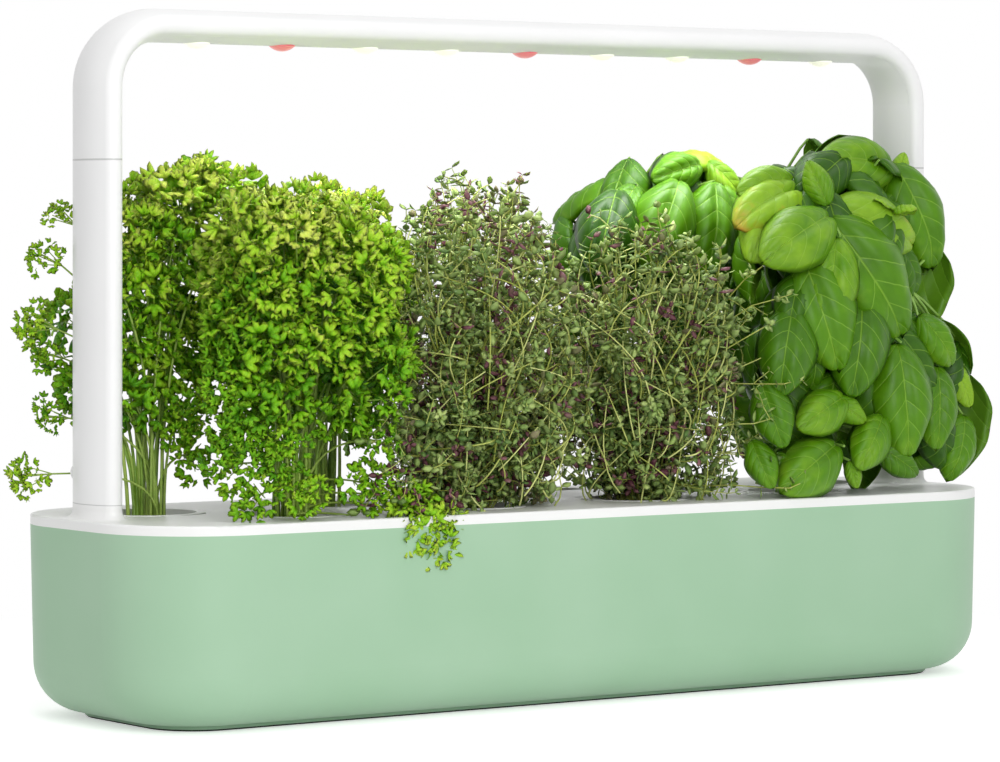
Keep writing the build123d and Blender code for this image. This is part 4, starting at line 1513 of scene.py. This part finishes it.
class PLANTER_OT_basil(bpy.types.Operator):
    """Grows the three basil plants"""

    bl_idname = "planter.basil"
    bl_label = "Basil"

    def execute(self, context):
        blades = [basil_blade(bend, *form) for bend, form in zip(BASIL_BENDS, BASIL_FORMS)]
        shapes = leaf_shapes("basil_leaf", blades, columns=12, rows=18, thickness=0.012)
        leaf = leaf_skin(
            "Basil leaf, glossy",
            # The orange at the ramp's top is painted light of the red grow light
            tints=[
                (0.0, "#143303"), (0.35, "#2e5a03"),
                (0.65, "#568a09"), (0.86, "#92bc2c"), (0.97, "#de9c4a"),
            ],
            vein="#9cc848",
            veins=BASIL_VEINS,
            vein_share=0.5,
            rough=0.4,
            puff_mm=0.5,
            underside="#6c9828",
            grain_mm=14,
            grain=0.3,
            edge=0.1,
            soft=0.2,
        )
        tones = [(0.1, "#5c8a2c"), (0.5, "#86b04a"), (0.9, "#b0d07a")]
        stem = stem_skin("Basil stem", tones, ridge_mm=5)
        leaf_mm = context.scene.planter_sizes.basil_leaf / MM
        spacing = context.scene.planter_sizes.basil_spacing
        # The third value is the share of upward-facing outer leaves painted as lit by the red grow light
        plans = {
            "basil_1": (BASIL_1_LEAVES, 7, 0.3, -0.02),
            "basil_2": (BASIL_2_LEAVES, 8, 0.1, 0),
            "basil_3": ([], 9, 0.1, 0),
        }
        for herb, (chosen, seed, warm, bright) in plans.items():
            skeleton = basil_skeleton(herb, spacing, leaf_mm, chosen, seed, warm, bright)
            finish_herb(herb, skeleton, shapes, stem, leaf, stem_sides=8)
        return {"FINISHED"}


# Camera, worked out from the photograph's perspective: its place, its heading and its lens
CAMERA_PLACE = (-1474.5 * MM, -2040.85 * MM, 277.0 * MM)
CAMERA_TURN = math.radians(35.51)
PHOTO_WIDTH = 1000
PHOTO_HEIGHT = 762
FOCAL_PX = 4218
HORIZON_PX = 227.7
SENSOR_MM = 36
CLIP_END = 50

# Middle of the object, which the softboxes face
AIM = Vector((0, 0, 0.18))
# Softboxes: place and width in metres, and power in watts
KEY_SOFTBOX = ((-0.65, -1.7, 0.85), 1.1, 15.5)
TOP_SOFTBOX = ((0.1, 0.0, 2.2), 2.0, 12)
# The grow light: how far it hangs under the lenses, its width, and its share of their row's length
GLOW_DROP = 2 * MM
GLOW_WIDTH = 40 * MM
GLOW_SHARE = 0.8
GLOW_POWER = 0.35
GLOW_SPREAD = math.radians(110)
# Half the floor's width, in metres
FLOOR_HALF = 30
# Distances from the middle between which the floor fades to plain white, and its own glow
FADE_START = 0.33
FADE_END = 0.6
FLOOR_GLOW = 0.45
# Strength of the surroundings as a light
WORLD_LIGHT = 0.5
WHITE = (1, 1, 1, 1)


class PLANTER_OT_stage(bpy.types.Operator):
    """Sets the pale floor, the soft lights and the camera"""

    bl_idname = "planter.stage"
    bl_label = "Stage"

    def execute(self, context):
        scene = context.scene
        scene.view_settings.view_transform = "Standard"
        set_world(scene)
        set_floor(scene)
        softbox(scene, "Key softbox", AIM, *KEY_SOFTBOX)
        softbox(scene, "Top softbox", AIM, *TOP_SOFTBOX)
        low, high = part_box("lenses_white")
        under = (0, 0, low.z - GLOW_DROP)
        strip = softbox(scene, "Grow light", Vector((0, 0, 0)), under, GLOW_WIDTH, GLOW_POWER)
        strip.spread = GLOW_SPREAD
        strip.shape = "RECTANGLE"
        strip.size_y = strip.size
        strip.size = (high.x - low.x) * GLOW_SHARE
        camera = bpy.data.cameras.new("Camera")
        camera.sensor_width = SENSOR_MM
        camera.lens = FOCAL_PX * camera.sensor_width / PHOTO_WIDTH
        camera.shift_y = (HORIZON_PX - PHOTO_HEIGHT / 2) / PHOTO_WIDTH
        camera.clip_end = CLIP_END
        eye = bpy.data.objects.new("Camera", camera)
        eye.location = CAMERA_PLACE
        eye.rotation_euler = (math.pi / 2, 0, -CAMERA_TURN)
        scene.collection.objects.link(eye)
        scene.camera = eye
        return {"FINISHED"}


def seen_ray(tree):
    """1 for what the camera sees, directly or in a gloss or through something clear; else 0."""
    path = add(tree, "ShaderNodeLightPath").outputs
    mirrored = [path["Is Glossy Ray"], path["Is Transmission Ray"]]
    mirrored = add(tree, "ShaderNodeMath", mirrored, operation="MAXIMUM")
    return add(tree, "ShaderNodeMath", [path["Is Camera Ray"], mirrored], operation="MAXIMUM")


def set_world(scene):
    """White to the camera; a plain soft grey as a light."""
    world = bpy.data.worlds.new("Soft studio")
    scene.world = world
    world.use_nodes = True
    tree = world.node_tree
    strength = {"Value": seen_ray(tree), "To Min": WORLD_LIGHT, "To Max": 1.0}
    strength = add(tree, "ShaderNodeMapRange", strength)
    feed(tree, tree.nodes["Background"], {"Strength": strength, "Color": WHITE})


def set_floor(scene):
    """Large white floor with soft shadows."""
    mesh = bpy.data.meshes.new("Floor")
    corners = [(x * FLOOR_HALF, y * FLOOR_HALF, 0) for x, y in ((-1, -1), (1, -1), (1, 1), (-1, 1))]
    mesh.from_pydata(corners, [], [(0, 1, 2, 3)])
    floor = bpy.data.objects.new("Floor", mesh)
    scene.collection.objects.link(floor)
    material, tree, shader = new_material("Studio floor, white paper")
    seen = seen_ray(tree)
    feed(tree, shader, {
        "Base Color": "#fdfdfd",
        "Roughness": 0.9,
        "Specular IOR Level": 0.1,
        "Emission Color": WHITE,
        "Emission Strength": add(tree, "ShaderNodeMath", [seen, FLOOR_GLOW], operation="MULTIPLY"),
    })
    place = add(tree, "ShaderNodeTexCoord").outputs["Object"]
    reach = add(tree, "ShaderNodeVectorMath", [place], operation="LENGTH")
    far = add(tree, "ShaderNodeMapRange", {"Value": reach, "From Min": FADE_START, "From Max": FADE_END})
    fade = add(tree, "ShaderNodeMath", [far, seen], operation="MULTIPLY")
    plain_white = add(tree, "ShaderNodeEmission", {"Color": WHITE, "Strength": 1.0})
    mix = add(tree, "ShaderNodeMixShader", [fade, shader, plain_white])
    feed(tree, tree.nodes["Material Output"], {"Surface": mix})
    mesh.materials.append(material)


def softbox(scene, name, target, place, size, power):
    """Square soft light that faces a place and isn't seen itself."""
    light = bpy.data.lights.new(name, "AREA")
    light.shape = "SQUARE"
    light.size = size
    light.energy = power
    lamp = bpy.data.objects.new(name, light)
    lamp.location = place
    lamp.rotation_euler = (target - Vector(place)).to_track_quat("-Z", "Y").to_euler()
    lamp.visible_camera = False
    scene.collection.objects.link(lamp)
    return light


class PLANTER_PT_panel(bpy.types.Panel):
    """Lists the steps that build the planter"""

    bl_label = "Indoor herb planter"
    bl_idname = "PLANTER_PT_panel"
    bl_space_type = "VIEW_3D"
    bl_region_type = "UI"
    bl_category = "Planter"

    def draw(self, context):
        column = self.layout.column()
        column.prop(context.scene.planter_colours, "tub")
        for name in PlanterSizes.__annotations__:
            column.prop(context.scene.planter_sizes, name)
        for operator in OPERATORS:
            column.operator(operator.bl_idname)


OPERATORS = (
    PLANTER_OT_stage,
    PLANTER_OT_bodies,
    PLANTER_OT_soil,
    PLANTER_OT_parsley,
    PLANTER_OT_thyme,
    PLANTER_OT_basil,
)
CLASSES = (PlanterColours, PlanterSizes, PLANTER_PT_panel) + OPERATORS


def register():
    """Adds the panel, the operators and the scene's own sizes and colours."""
    for item in CLASSES:
        bpy.utils.register_class(item)
    bpy.types.Scene.planter_colours = bpy.props.PointerProperty(type=PlanterColours)
    bpy.types.Scene.planter_sizes = bpy.props.PointerProperty(type=PlanterSizes)


def unregister():
    """Takes out all that register adds."""
    del bpy.types.Scene.planter_sizes
    del bpy.types.Scene.planter_colours
    for item in reversed(CLASSES):
        bpy.utils.unregister_class(item)


def main():
    """Builds the whole planter."""
    register()
    for operator in OPERATORS:
        group, name = operator.bl_idname.split(".")
        getattr(getattr(bpy.ops, group), name)()


if __name__ == "__main__":
    main()
